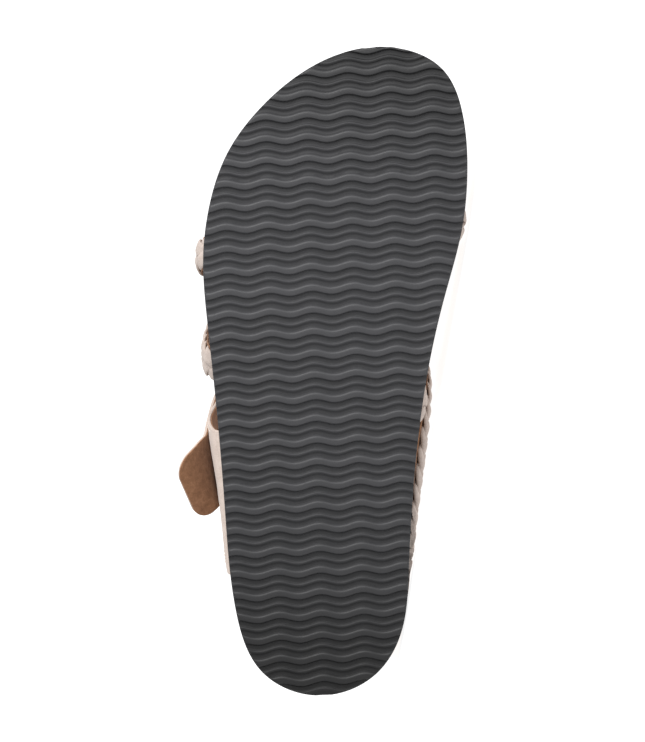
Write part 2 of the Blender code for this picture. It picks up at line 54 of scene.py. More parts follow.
# Sizes that the solids have too, in metres
LENGTH = 252.6 * MM
BALL_WIDTH = 100.0 * MM
OUTSOLE_THICKNESS = 9.0 * MM
TOE_SPRING = 6.0 * MM
SPRING_START = 0.74
FIT_GAP = 0.3 * MM
JOINT = OUTSOLE_THICKNESS + FIT_GAP
HEEL_MOUNT_ALONG = 32.3 * MM

# Wave tread: wide ribs with one thin rib in each channel between them
EDGE_ROUND = 0.9 * MM
TREAD_PITCH = 8.44 * MM
TREAD_SKEW = 0.0507
CHANNEL_DEPTH = 1.2 * MM
WAVE_LENGTH = 16.3 * MM
WAVE_HEIGHT = 0.77 * MM
WAVE_SHIFT = 13.55 * MM
WAVE_DRIFT = -0.0296
WAVE_FULL_WIDTH = 30.0 * MM
WAVE_LOWEST = 0.2
TREAD_COLUMNS = 88
EDGE_STEPS = (0.0, 0.2 * MM, 0.5 * MM, 0.95 * MM)
END_WIDTH = 4.0 * MM
TIP_STEP = 0.37 * MM
TOP_ROUND = 0.5 * MM
# Share of the groove value, and so of the channels' painted shade and roughness, that the rounded edge, the
# sides and the top get
WALL_TONE = 0.35

# Search for the ends of the tread's lines: places across, their number and the halvings of the last step;
# and for distances from the outline: the parts that the points are taken in, and a guard against zero
SEARCH_ACROSS = (-0.6 * BALL_WIDTH, 0.7 * BALL_WIDTH)
SEARCH_STEPS = 521
HALVINGS = 24
DISTANCE_PARTS = 40
TINY = 1e-12

# One pitch of the tread, going to the toe: distance in mm, share of the channel's depth
TREAD_PROFILE = (
    (0.40, 1.00),
    (0.80, 0.98),
    (1.20, 0.72),
    (1.50, 0.50),
    (1.80, 0.40),
    (2.10, 0.40),
    (2.32, 0.48),
    (2.58, 0.76),
    (2.85, 0.92),
    (3.20, 0.95),
    (4.45, 0.90),
    (4.80, 0.25),
    (5.00, 0.05),
    (5.25, 0.00),
    (6.55, 0.00),
    (7.02, 0.07),
    (7.40, 0.28),
    (7.78, 0.68),
    (8.12, 0.95),
)

# Painted shade on the rubber from heel to toe, darkest at the two ends, as shares of the length and of its
# full tone
PAINTED_END_SHADE = (
    (0.00, 0.06),
    (0.08, 0.22),
    (0.16, 0.50),
    (0.28, 0.74),
    (0.40, 0.87),
    (0.62, 1.00),
    (0.80, 0.88),
    (0.90, 0.58),
    (1.00, 0.26),
)

# Nubuck of the plain pieces, and a darker copy of it for the braids' strips that paints the shade between
# strands: its dark, middle and pale tones
PLAIN_NUBUCK = ((0.445, 0.365, 0.32), (0.57, 0.48, 0.425), (0.65, 0.56, 0.505))
SHADED_BRAID_NUBUCK = ((0.36, 0.30, 0.27), (0.485, 0.415, 0.375), (0.57, 0.495, 0.45))
WHITE = (1.0, 1.0, 1.0)

# Footbed and its lining
BED_INSET = 1.4 * MM
RIM_INSET = 3.2 * MM
END_RIM = 4.7 * MM
DISH_POWER = 3.5
END_DISH = 30.0 * MM
LINING_THICKNESS = 1.3 * MM
LINING_INSET = 3.8 * MM
LINING_ROUND = 0.5 * MM
ROUNDING_ANGLES = (0, 30, 60, 90)

# Footbed's side: share of its height that flares, how far and how fast, and the rounding up to its rim
FLARE_TOP = 0.9
FLARE_REACH = 0.75
FLARE_POWER = 1.5
RIM_ROUND = ((0.965, 0.32 * MM), (0.993, 0.12 * MM))

# Places along the sole: what is trimmed off its ends, and how much closer together they are there
END_TRIM = 0.25 * MM
END_CROWDING = 0.86

# Straps
BRAID_HALF_WIDTH = 6.6 * MM
BRAID_PERIOD = 22.0 * MM
BRAID_STEP = 0.8 * MM
CROSSING_LIFT = 1.5 * MM
CROSSING_SINK = 1.6 * MM
CROSSING_REACH = 10.0 * MM
TUCK_HEIGHT = 6.0 * MM
TUCK_DEPTH = 3.2 * MM
LEATHER = 1.15 * MM
LEATHER_MARGIN = 0.3 * MM
LEATHER_ROUND = 0.40 * MM
LINING_SKIN = 0.6 * MM
LINING_SKIN_ROUND = 0.15 * MM
BEVEL_ANGLE = math.radians(50)
PANEL_LINING_INSET = 0.008
PANEL_SEAM_UP = (0.10, 0.97)
PANEL_SEAM_INSET = (0.035, 0.065)
LOWEST_TURN = 0.03
TAB_HALF_WIDTH = 14.7 * MM
TAB_CORNER = 8.6 * MM
TAB_NOSE = 0.98
TAB_TWIST = math.radians(22)
TAB_FREE = 19.0 * MM
STRAP_TAPER = 2.1 * MM
STRAP_STEP = 0.7 * MM

# A plait: shares of its half width that the strands swing and have, their thickness, rise and roll
STRAND_SWING = 0.60
STRAND_HALF_WIDTH = 0.39
STRAND_HALF_THICK = 0.68 * MM
STRAND_RISE = 0.62 * MM
STRAND_ROLL = math.radians(16)
BACKING = 0.5 * MM
BACKING_FILL = 0.4 * MM
BRAID_END = 9.0 * MM
BELOW_JOINT = 6.0
END_FLATNESS = 0.55
FLAT_START = (BRAID_END, END_FLATNESS)
INSTEP_FLAT_START = (25.0 * MM, 0.30)
STRIP_SQUARE = 2.6

# Seams: distance from the edge, and the length, gap and radius of a stitch
SEAM_MARGIN = 2.4 * MM
STITCH_LENGTH = 2.0 * MM
STITCH_GAP = 0.9 * MM
STITCH_RADIUS = 0.26 * MM
STITCH_SIDES = 8
STITCH_RINGS = 6

# Soft creases: shares along and across their piece at each end, half width and depth in mm; the ridges'
# height is a share of the depth, and they lie that many half widths away
CREASE_STEPS = 30
CREASE_RIDGE = 0.25
RIDGE_AWAY = 2
PANEL_CREASES = (
    ((0.30, 0.42), (0.78, 0.58), 3.0, 0.50),
    ((0.22, 0.62), (0.60, 0.78), 2.4, 0.35),
    ((0.55, 0.20), (0.86, 0.32), 3.2, 0.40),
)
STRAP_CREASES = (
    ((0.24, 0.10), (0.21, 0.90), 2.6, 0.35),
    ((0.33, 0.06), (0.31, 0.72), 2.2, 0.28),
    ((0.56, 0.30), (0.53, 0.96), 2.8, 0.32),
)

# Plain end piece of the instep braid at the inner heel
END_PIECE_LENGTH = 19.0 * MM
END_PIECE_HALF_WIDTH = 6.4 * MM
END_PIECE_HALF_THICK = 1.0 * MM
END_PIECE_TAPER = 0.12
END_PIECE_THIN_END = 0.8

# The upper's form: side and crown exponents of its sections, and where the sides bulge most
SIDE_POWER = 0.66
CROWN_POWER = 0.83
BULGE_CREST = 0.30

# Sole outline: landmark, share of LENGTH from the heel, share of BALL_WIDTH towards the inner side
OUTLINE = (
    ("heel back", 0.000, -0.008),
    ("heel outer quarter", 0.038, -0.230),
    ("heel outer", 0.127, -0.326),
    ("waist outer", 0.279, -0.369),
    ("midfoot outer", 0.445, -0.404),
    ("behind ball outer", 0.575, -0.439),
    ("ball outer", 0.677, -0.455),
    ("fifth toe", 0.751, -0.433),
    ("fourth toe", 0.834, -0.363),
    ("third toe", 0.908, -0.226),
    ("second toe", 0.964, -0.055),
    ("toe tip", 1.000, 0.257),
    ("big toe end", 0.964, 0.480),
    ("big toe", 0.890, 0.558),
    ("big toe root", 0.806, 0.573),
    ("ball inner", 0.723, 0.554),
    ("behind ball inner", 0.612, 0.483),
    ("midfoot inner", 0.501, 0.420),
    ("waist inner", 0.334, 0.366),
    ("arch end inner", 0.192, 0.345),
    ("heel inner", 0.103, 0.320),
    ("heel inner quarter", 0.038, 0.230),
)

# Footbed top, in mm above the tread: share of LENGTH, middle, outer rim, inner rim
FOOTBED = (
    (0.00, 24.5, 32.0, 32.0),
    (0.06, 24.0, 32.0, 32.0),
    (0.16, 23.0, 31.5, 32.0),
    (0.30, 23.5, 30.0, 34.0),
    (0.42, 24.5, 28.0, 35.0),
    (0.55, 23.0, 26.0, 31.0),
    (0.68, 20.0, 25.0, 26.5),
    (0.80, 19.2, 24.0, 24.5),
    (0.92, 19.8, 23.5, 24.0),
    (1.00, 20.4, 23.5, 24.0),
)

# Sections of the upper: share of LENGTH, height above the strap joint, outer bulge, inner bulge, in mm
SECTIONS = (
    (0.10, 100.0, 0.8, -1.2),
    (0.20, 96.0, 1.4, -1.2),
    (0.32, 90.0, 2.6, -0.4),
    (0.42, 81.0, 4.2, 0.6),
    (0.52, 71.0, 2.5, 0.5),
    (0.62, 60.0, 2.0, -0.2),
    (0.72, 50.0, 1.4, -1.0),
    (0.85, 40.0, 0.4, -1.0),
)

# Braids that cross the forefoot: share of LENGTH at the outer joint and at the inner joint, lean at the top
FRONT_CROSS = (0.682, 0.437, 12.0 * MM)
REAR_CROSS = (0.506, 0.728, 12.0 * MM)

# Instep braid from the inner heel to the top: share of LENGTH, turn in degrees, height over the form in mm
INSTEP_BRAID = (
    (0.150, 184.0, 0.0),
    (0.214, 180.0, 0.0),
    (0.297, 177.6, 1.2),
    (0.384, 174.8, 1.7),
    (0.443, 168.5, 0.3),
    (0.491, 154.5, 0.0),
    (0.519, 126.0, 0.0),
    (0.520, 92.0, 0.0),
    (0.515, 82.0, 0.0),
)

# Closing strap from the top to the free tab: share of LENGTH, turn in degrees, height over the form in mm
CLOSING_STRAP = (
    (0.521, 97.0, 3.8),
    (0.513, 80.0, 2.7),
    (0.482, 60.0, 2.4),
    (0.430, 40.0, 2.4),
    (0.370, 25.1, 2.8),
    (0.3416, 14.8, 4.3),
    (0.315, 9.9, 13.7),
)

# Outer side panel: turn in degrees, rear edge and front edge as shares of LENGTH
SIDE_PANEL = (
    (0.0, 0.181, 0.405),
    (8.0, 0.205, 0.420),
    (20.0, 0.265, 0.440),
    (36.0, 0.345, 0.470),
    (50.0, 0.405, 0.490),
)

# Toe loop: share of LENGTH, distances towards the inner side of its two feet, height over the footbed
TOE_LOOP_ALONG = 0.795
TOE_LOOP_LEAN = 7.0 * MM
TOE_LOOP_FEET = (19.0 * MM, 46.0 * MM)
TOE_LOOP_HEIGHT = 27.0 * MM
TOE_LOOP_HALF_WIDTH = 5.4 * MM
TOE_LOOP_ROUND = 0.8
TOE_LOOP_CENTRE = 0.3
TOE_LOOP_SLOT = (2 * TOE_LOOP_HALF_WIDTH + 1.6 * MM, 5.2 * MM, 14.0 * MM)
TOE_LOOP_SLOT_ROUND = 1.8 * MM

# Photo frame: pixels, the photo's scale, and the spot of the tread at its centre
PHOTO_SIZE = (645, 742)
METRES_PER_PIXEL = 0.3887 * MM
FRAME_CENTRE = (126.23 * MM, 0.92 * MM)
CAMERA_DISTANCE = 3.0
CAMERA_CLIP = 100.0
SENSOR_WIDTH = 36.0

# Floor and key light, in metres and watts; the light's place is in the sandal's axes
FLOOR_RADIUS = 40.0
FLOOR_SIDES = 96
FLOOR_GREY = 0.40
FLOOR_GLOW = 0.88
KEY_PLACE = (1.15, -0.35, -0.75)
KEY_SIZE = 0.7
KEY_POWER = 17.0

# Fineness of curves and of grids, as counts along and across, and the gap that is merged
OUTLINE_POINTS = 1440
OUTLINE_WRAP = 4
ROUTE_FINENESS = 60
CROSS_KNOTS = 15
STRIP_SIDES = 14
TOE_LOOP_STEPS = 120
FOOTBED_ROWS = 150
FOOTBED_COLUMNS = 41
FLARE_STEPS = 7
INSOLE_ROWS = 170
INSOLE_BELOW = 13
INSOLE_ABOVE = 61
STRAP_GRID = (120, 16)
PANEL_GRID = (60, 44)
PANEL_SEAM_STEPS = (160, 60)
MERGE_DISTANCE = 0.001 * MM


def lying_frame():
    """Turn and place of the sandal's axes in the row's frame, from the two mounts on the tread."""
    mounts = {mount["name"]: mount for mount in frame["record"]["mounts"]}
    heel, ball = (Vector(mounts[name]["pos_m"]) for name in ("tread_heel", "tread_forefoot"))
    up = -Vector(mounts["tread_heel"]["axis"]).normalized()
    ahead = ball - heel
    ahead = (ahead - ahead.dot(up) * up).normalized()
    turn = Matrix((ahead, up.cross(ahead), up)).transposed()
    return np.array(turn), np.array(heel - HEEL_MOUNT_ALONG * ahead)


TURN, PLACE = lying_frame()


def to_row(points):
    return np.asarray(points, float) @ TURN.T + PLACE


def to_sandal(points):
    return (np.asarray(points, float) - PLACE) @ TURN


def smooth(knots, values, at):
    """Natural cubic curve through the values at the knots."""
    knots = np.asarray(knots, float)
    values = np.asarray(values, float)
    at = np.asarray(at, float)
    gaps = np.diff(knots)
    system = np.eye(len(knots))
    change = np.zeros_like(values)
    for i in range(1, len(knots) - 1):
        system[i, i - 1 : i + 2] = gaps[i - 1], 2 * (gaps[i - 1] + gaps[i]), gaps[i]
        change[i] = 6 * ((values[i + 1] - values[i]) / gaps[i] - (values[i] - values[i - 1]) / gaps[i - 1])
    bend = np.linalg.solve(system, change)
    k = np.clip(np.searchsorted(knots, at) - 1, 0, len(gaps) - 1)
    gap = gaps[k]
    after = at - knots[k]
    before = knots[k + 1] - at
    if values.ndim > 1:
        gap, after, before = gap[:, None], after[:, None], before[:, None]
    return (
        (bend[k] * before**3 + bend[k + 1] * after**3) / (6 * gap)
        + (values[k] / gap - bend[k] * gap / 6) * before
        + (values[k + 1] / gap - bend[k + 1] * gap / 6) * after
    )


def ease(share):
    """Smooth step from 0 to 1."""
    share = np.clip(share, 0, 1)
    return share * share * (3 - 2 * share)


def unit(vectors):
    return vectors / np.linalg.norm(vectors, axis=-1)[..., None]


def signed_power(values, power):
    """A power of the values' sizes, with their signs kept."""
    return np.sign(values) * np.abs(values) ** power


def lengths_along(points):
    return np.concatenate([[0.0], np.cumsum(np.linalg.norm(np.diff(points, axis=0), axis=1))])


def sole_edges():
    """The outer and the inner edge of the sole, heel to toe: along, across and the inward normal."""
    marks = np.array([(along * LENGTH, across * BALL_WIDTH) for _, along, across in OUTLINE])
    wrap = OUTLINE_WRAP
    wrapped = np.vstack([marks[-wrap:], marks, marks[: wrap + 1]])
    reach = lengths_along(wrapped)
    at = np.linspace(reach[wrap], reach[wrap + len(marks)], OUTLINE_POINTS + 1)[:-1]
    points = smooth(reach, wrapped, at)
    points = np.roll(points, -int(np.argmin(points[:, 0])), axis=0)
    points[:, 0] -= points[0, 0]
    points[:, 0] *= LENGTH / points[:, 0].max()
    ahead = unit(np.roll(points, -1, axis=0) - np.roll(points, 1, axis=0))
    rows = np.hstack([points, -ahead[:, 1:], ahead[:, :1]])
    toe = int(np.argmax(points[:, 0]))
    if rows[toe // 2, 1] > 0:
        rows = rows[::-1]
    return rows[: toe + 1], np.vstack([rows[toe:], rows[:1]])[::-1]


OUTER_EDGE, INNER_EDGE = sole_edges()
INWARD = np.sign(OUTER_EDGE[len(OUTER_EDGE) // 2, 3])


def on_edge(edge, along, inset=0.0):
    """Points of a sole edge moved inwards by inset, as along and across."""
    x, y, nx, ny = (np.interp(along, edge[:, 0], edge[:, i]) for i in range(4))
    return x + INWARD * inset * nx, y + INWARD * inset * ny


def spring(along):
    return TOE_SPRING * np.clip((along / LENGTH - SPRING_START) / (1 - SPRING_START), 0, None) ** 2


def bed_height(along, across):
    """Footbed top above the tread: a dish inside a rim that also goes round the heel and the toe."""
    table = np.array(FOOTBED)
    shape = along.shape
    middle, outer, inner = (smooth(table[:, 0], table[:, i], along.ravel() / LENGTH) for i in (1, 2, 3))
    middle, outer, inner = (row.reshape(shape) * MM for row in (middle, outer, inner))
    rim = outer + (inner - outer) * (across + 1) / 2
    to_end = np.minimum(along, LENGTH - along) - END_RIM
    edge = np.maximum(np.abs(across), np.clip(1 - to_end / END_DISH, 0, 1))
    return middle + (rim - middle) * edge**DISH_POWER


def bed_point(along, across_place):
    """Footbed top at one place, as a height above the tread."""
    low = on_edge(OUTER_EDGE, along, RIM_INSET)[1]
    high = on_edge(INNER_EDGE, along, RIM_INSET)[1]
    across = 2 * (across_place - low) / (high - low) - 1
    return float(bed_height(np.array([along]), np.array([across]))[0] + spring(along))


def form_point(along, turn):
    """Point of the upper's form; turn runs from 0 at the outer joint over the foot to pi at the inner one."""
    table = np.array(SECTIONS)
    height, outer_bulge, inner_bulge = (
        smooth(table[:, 0], table[:, i], along / LENGTH) * MM for i in (1, 2, 3)
    )
    clear = BED_INSET - FIT_GAP
    low = on_edge(OUTER_EDGE, along, clear)[1]
    high = on_edge(INNER_EDGE, along, clear)[1]
    up = np.clip(np.sin(turn), 0, None) ** CROWN_POWER
    swing = np.cos(turn)
    side = signed_power(swing, SIDE_POWER)
    below = np.clip(-turn, 0, None) + np.clip(turn - math.pi, 0, None)
    side = np.where(below > 0, np.sign(swing), side)
    bulge = np.where(swing > 0, outer_bulge, inner_bulge)
    crest = 1 / BULGE_CREST - 1
    shape = up * (1 - up) ** crest / (BULGE_CREST * (1 - BULGE_CREST) ** crest)
    y = (low + high) / 2 - side * (high - low) / 2 - np.sign(swing) * bulge * shape
    z = JOINT + up * height - below * height
    return np.stack([along, y, z], axis=-1)


def form_normal(along, turn):
    """Outward normal of the form, from small steps along it and around it."""
    step_along = 1.0 * MM
    step_turn = 0.02
    ahead = form_point(along + step_along, turn) - form_point(along - step_along, turn)
    around = form_point(along, turn + step_turn) - form_point(along, turn - step_turn)
    normal = np.cross(around, ahead)
    outward = np.stack([np.zeros_like(along), -np.cos(turn), np.clip(np.sin(turn), 0, None)], axis=-1)
    normal *= np.sign(np.sum(normal * outward, axis=-1))[..., None]
    return unit(normal)


def tucked(points):
    """Points of the upper drawn in under the footbed where they come down to the joint."""
    drawn = TUCK_DEPTH * ease((JOINT + TUCK_HEIGHT - points[..., 2]) / TUCK_HEIGHT)
    middle = (on_edge(OUTER_EDGE, points[..., 0])[1] + on_edge(INNER_EDGE, points[..., 0])[1]) / 2
    moved = points.copy()
    moved[..., 1] -= np.sign(points[..., 1] - middle) * drawn
    return moved


def at_reach(rows, reach, at):
    """Rows of values read at distances along a line."""
    return np.stack([np.interp(at, reach, column) for column in rows.T], axis=-1)


def resampled(rows, step):
    """Rows of along, turn and more, evenly spaced over the form."""
    rows = np.asarray(rows, float)
    dense = smooth(np.arange(len(rows)), rows, np.linspace(0, len(rows) - 1, ROUTE_FINENESS * len(rows)))
    reach = lengths_along(form_point(dense[:, 0], dense[:, 1]))
    count = max(2, round(reach[-1] / step)) + 1
    return at_reach(dense, reach, np.linspace(0, reach[-1], count))


def cross_route(outer, inner, lean):
    """Route of a braid over the forefoot, from the outer joint to the inner joint."""
    turn = np.radians(np.linspace(-BELOW_JOINT, 180 + BELOW_JOINT, CROSS_KNOTS))
    along = LENGTH * (outer + (inner - outer) * turn / math.pi) + lean * np.clip(np.sin(turn), 0, None)
    return resampled(np.stack([along, turn], axis=1), BRAID_STEP)


def table_route(table, step):
    """Route over the form from a table of share of LENGTH, turn in degrees and values in mm."""
    rows = [(along * LENGTH, math.radians(turn), *np.multiply(rest, MM)) for along, turn, *rest in table]
    return resampled(rows, step)


def only(obj):
    bpy.ops.object.select_all(action="DESELECT")
    obj.select_set(True)
    bpy.context.view_layer.objects.active = obj


@contextmanager
def editing(obj):
    """Edit mode on one object, with all of it selected to begin with."""
    only(obj)
    bpy.ops.object.mode_set(mode="EDIT")
    bpy.ops.mesh.select_mode(type="VERT")
    bpy.ops.mesh.select_all(action="SELECT")
    yield
    bpy.ops.object.mode_set(mode="OBJECT")


def added(operator, **settings):
    """Adds a ready-made mesh and returns it."""
    bpy.ops.object.select_all(action="DESELECT")
    operator(**settings)
    return bpy.context.object


def coordinates(mesh):
    flat = np.empty(3 * len(mesh.vertices))
    mesh.vertices.foreach_get("co", flat)
    return flat.reshape(-1, 3)


def lay(obj, points):
    """Puts an object's vertices at points of the sandal's axes."""
    obj.data.vertices.foreach_set("co", to_row(points).ravel())
    obj.data.update()


def sheet(name, along_cuts, across_cuts, place):
    """Adds a grid and lays it over a surface; place gets shares from 0 to 1 along it and across it."""
    grid = bpy.ops.mesh.primitive_grid_add
    obj = added(grid, x_subdivisions=along_cuts, y_subdivisions=across_cuts, size=1.0)
    obj.name = obj.data.name = name
    flat = coordinates(obj.data)
    lay(obj, place(flat[:, 0] + 0.5, flat[:, 1] + 0.5))
    return obj


def closed_tube(obj):
    """Joins the seams of a rolled-up sheet or a cut solid, and caps its open ends."""
    with editing(obj):
        bpy.ops.mesh.remove_doubles(threshold=MERGE_DISTANCE)
        bpy.ops.mesh.select_all(action="DESELECT")
        bpy.ops.mesh.select_non_manifold(extend=False)
        bpy.ops.mesh.fill_holes(sides=0)
        bpy.ops.mesh.select_all(action="SELECT")
        bpy.ops.mesh.normals_make_consistent(inside=False)


def rolled(name, columns, attribute=None):
    """Rolls columns of points up into a closed solid; a fourth value can be kept as an attribute."""
    grid = np.stack([*columns, columns[0]], axis=1)
    rows, turns = grid.shape[0] - 1, grid.shape[1] - 1
    values = []

    def place(along, around):
        chosen = grid[np.rint(along * rows).astype(int), np.rint(around * turns).astype(int)]
        values.append(chosen[:, 3:])
        return chosen[:, :3]

    obj = sheet(name, rows, turns, place)
    if attribute:
        kept = obj.data.attributes.new(attribute, "FLOAT", "POINT")
        kept.data.foreach_set("value", values[0].ravel().astype(np.float32))
    closed_tube(obj)
    return obj


def turned_out(obj):
    """Turns an open sheet of the upper so that its faces point away from the foot."""
    centres = np.empty(3 * len(obj.data.polygons))
    normals = np.empty(3 * len(obj.data.polygons))
    obj.data.polygons.foreach_get("center", centres)
    obj.data.polygons.foreach_get("normal", normals)
    away = to_sandal(centres.reshape(-1, 3)) - (0, 0, JOINT)
    away[:, 0] = 0
    if np.sum(normals.reshape(-1, 3) * (away @ TURN.T)) < 0:
        with editing(obj):
            bpy.ops.mesh.flip_normals()


def modified(obj, kind, **settings):
    """Adds a modifier and applies it."""
    only(obj)
    modifier = obj.modifiers.new(kind.lower(), kind)
    for name, value in settings.items():
        setattr(modifier, name, value)
    bpy.ops.object.modifier_apply(modifier=modifier.name)


def smoothed(obj, degrees):
    only(obj)
    bpy.ops.object.shade_smooth_by_angle(angle=math.radians(degrees))


def joined(name, objects):
    bpy.ops.object.select_all(action="DESELECT")
    for obj in objects:
        obj.select_set(True)
    bpy.context.view_layer.objects.active = objects[0]
    bpy.ops.object.join()
    obj = bpy.context.object
    obj.name = obj.data.name = name
    return obj


def finished(obj, material, node):
    """Gives a piece its material and ties it to the frame."""
    obj.data.materials.clear()
    obj.data.materials.append(material)
    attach(obj, "root")
    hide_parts(node)


def put(tree, kind, sockets=None, **settings):
    """Adds a node; sockets hold values or links by name or number."""
    node = tree.nodes.new(kind)
    for name, value in settings.items():
        setattr(node, name, value)
    for name, value in (sockets or {}).items():
        if isinstance(value, bpy.types.NodeSocket):
            tree.links.new(value, node.inputs[name])
        else:
            node.inputs[name].default_value = value
    return node


def ramp(tree, value, *stops):
    """Colour ramp over a value; a stop is a place and a colour."""
    node = put(tree, "ShaderNodeValToRGB", {"Fac": value})
    while len(node.color_ramp.elements) < len(stops):
        node.color_ramp.elements.new(0.5)
    for element, (place, colour) in zip(node.color_ramp.elements, stops):
        element.position = place
        element.color = (*colour, 1.0)
    return node.outputs["Color"]


def multiplied(tree, first, *others):
    """Product of colours."""
    for other in others:
        sockets = {0: 1.0, 6: first, 7: other}
        first = put(tree, "ShaderNodeMix", sockets, data_type="RGBA", blend_type="MULTIPLY").outputs[2]
    return first


def sums(tree, operation, first, second):
    node = put(tree, "ShaderNodeMath", {0: first, 1: second}, operation=operation)
    return node.outputs[0]


def spread(tree, value, low, high):
    """Maps a value from 0 to 1 onto low to high."""
    sockets = {"Value": value, "To Min": low, "To Max": high}
    return put(tree, "ShaderNodeMapRange", sockets).outputs["Result"]


def new_group(name, inputs, outputs):
    """An empty shader group with a vector input, and named float inputs and outputs."""
    tree = bpy.data.node_groups.new(name, "ShaderNodeTree")
    sockets = [("Vector", "INPUT", "NodeSocketVector")]
    sockets += [(socket, "INPUT", "NodeSocketFloat") for socket in inputs]
    sockets += [(socket, "OUTPUT", "NodeSocketFloat") for socket in outputs]
    for socket, way, kind in sockets:
        tree.interface.new_socket(name=socket, in_out=way, socket_type=kind)
    return tree, put(tree, "NodeGroupInput").outputs, put(tree, "NodeGroupOutput").inputs


def nap_group():
    """Nap of suede and nubuck: soft patches where it was brushed, and short fibres."""
    tree, given, out = new_group("nap", ("Patch", "Fibre"), ("Tone", "Height"))
    patch = {"Vector": given["Vector"], "Scale": given["Patch"], "Detail": 3.0, "Roughness": 0.6}
    fibre = {"Vector": given["Vector"], "Scale": given["Fibre"], "Detail": 2.0, "Roughness": 0.7}
    brushed = put(tree, "ShaderNodeTexNoise", patch).outputs["Fac"]
    fibres = put(tree, "ShaderNodeTexNoise", fibre).outputs["Fac"]
    tone = sums(tree, "ADD", sums(tree, "MULTIPLY", brushed, 0.55), sums(tree, "MULTIPLY", fibres, 0.45))
    tree.links.new(tone, out["Tone"])
    tree.links.new(fibres, out["Height"])
    return tree


def grain_group():
    """Grain of leather and moulded rubber: fine pebbles with narrow creases between them."""
    tree, given, out = new_group("grain", ("Pebble",), ("Height", "Crease"))
    cells = {"Vector": given["Vector"], "Scale": given["Pebble"], "Randomness": 0.9}
    distance = put(tree, "ShaderNodeTexVoronoi", cells, feature="DISTANCE_TO_EDGE").outputs["Distance"]
    crease = spread(tree, sums(tree, "MULTIPLY", distance, 5.0), 1.0, 0.0)
    fine = {"Vector": given["Vector"], "Scale": sums(tree, "MULTIPLY", given["Pebble"], 2.2), "Detail": 3.0}
    noise = put(tree, "ShaderNodeTexNoise", fine).outputs["Fac"]
    tree.links.new(sums(tree, "SUBTRACT", noise, sums(tree, "MULTIPLY", crease, 0.5)), out["Height"])
    tree.links.new(crease, out["Crease"])
    return tree


def placed_group(tree, group, **sockets):
    return put(tree, "ShaderNodeGroup", sockets, node_tree=group).outputs


def new_material(name, **sockets):
    """A Principled material with plain values on its sockets; returns it, its tree and its coordinates."""
    made = bpy.data.materials.new(name)
    made.use_nodes = True
    tree = made.node_tree
    for socket, value in sockets.items():
        tree.nodes["Principled BSDF"].inputs[socket.replace("_", " ")].default_value = value
    return made, tree, put(tree, "ShaderNodeTexCoord").outputs["Object"]


def dressed(made, colour, rough, height, strength, depth):
    """Links a material's colour, its roughness and a bump of a strength and a depth."""
    tree = made.node_tree
    bump = put(tree, "ShaderNodeBump", {"Height": height, "Strength": strength, "Distance": depth})
    links = {"Base Color": colour, "Roughness": rough, "Normal": bump.outputs["Normal"]}
    for socket, value in links.items():
        tree.links.new(value, tree.nodes["Principled BSDF"].inputs[socket])
    return made


def rubber_material(nap, grain):
    """Charcoal rubber with painted shade: darker down in the channels and towards the heel and the toe,
    duller in the channels and a little polished on the ribs.
    """
    made, tree, place = new_material("charcoal_rubber", Specular_IOR_Level=0.35)
    groove = put(tree, "ShaderNodeAttribute", attribute_name="groove").outputs["Fac"]
    cloud = placed_group(tree, nap, Vector=place, Patch=70.0, Fibre=900.0)
    skin = placed_group(tree, grain, Vector=place, Pebble=2200.0)
    # Painted shade: the colour is a little darker on the shoulders and darkest down in the channels, where
    # shade falls between the ribs
    rib, shoulder, channel = (0.0355, 0.0355, 0.0385), (0.030, 0.030, 0.033), (0.021, 0.021, 0.023)
    depth = ramp(tree, groove, (0.0, rib), (0.35, shoulder), (1.0, channel))
    shade = ramp(tree, cloud["Tone"], (0.30, (0.84, 0.84, 0.84)), (0.70, WHITE))
    place_x = put(tree, "ShaderNodeSeparateXYZ", {"Vector": place}).outputs["X"]
    ends = {"Value": place_x, "From Min": -LENGTH / 2, "From Max": LENGTH / 2}
    heel_to_toe = put(tree, "ShaderNodeMapRange", ends).outputs["Result"]
    # Painted shade: the rubber's colour is darkened towards the heel and the toe, where less light falls
    tone = ramp(tree, heel_to_toe, *[(at, (grey, grey, grey)) for at, grey in PAINTED_END_SHADE])
    rough = sums(tree, "ADD", spread(tree, groove, 0.48, 0.66), spread(tree, skin["Height"], -0.05, 0.05))
    return dressed(made, multiplied(tree, depth, shade, tone), rough, skin["Height"], 0.35, 0.06 * MM)


def nubuck_material(name, nap, grain, dark, blush, pale):
    """Blush nubuck: pale, matt, with brushed patches and a soft bloom at grazing angles."""
    bloom = {"Sheen_Weight": 0.12, "Sheen_Roughness": 0.5}
    made, tree, place = new_material(name, Specular_IOR_Level=0.30, **bloom)
    brushed = placed_group(tree, nap, Vector=place, Patch=260.0, Fibre=2600.0)
    pores = placed_group(tree, grain, Vector=place, Pebble=1300.0)
    tone = ramp(tree, brushed["Tone"], (0.25, dark), (0.50, blush), (0.75, pale))
    pored = ramp(tree, pores["Crease"], (0.0, WHITE), (1.0, (0.90, 0.87, 0.85)))
    rough = spread(tree, brushed["Tone"], 0.62, 0.88)
    height = sums(tree, "ADD", pores["Height"], brushed["Height"])
    return dressed(made, multiplied(tree, tone, pored), rough, height, 0.30, 0.10 * MM)


def suede_material(nap):
    """Brown suede of the linings: a mottled nap with darker, flattened patches."""
    bloom = {"Sheen_Weight": 0.08, "Sheen_Roughness": 0.6}
    made, tree, place = new_material("brown_suede", Specular_IOR_Level=0.08, **bloom)
    brushed = placed_group(tree, nap, Vector=place, Patch=420.0, Fibre=2200.0)
    flattened, brown, raised = (0.15, 0.072, 0.037), (0.25, 0.127, 0.067), (0.36, 0.195, 0.11)
    tone = ramp(tree, brushed["Tone"], (0.28, flattened), (0.50, brown), (0.72, raised))
    rough = spread(tree, brushed["Tone"], 0.98, 0.86)
    return dressed(made, tone, rough, brushed["Height"], 0.5, 0.12 * MM)


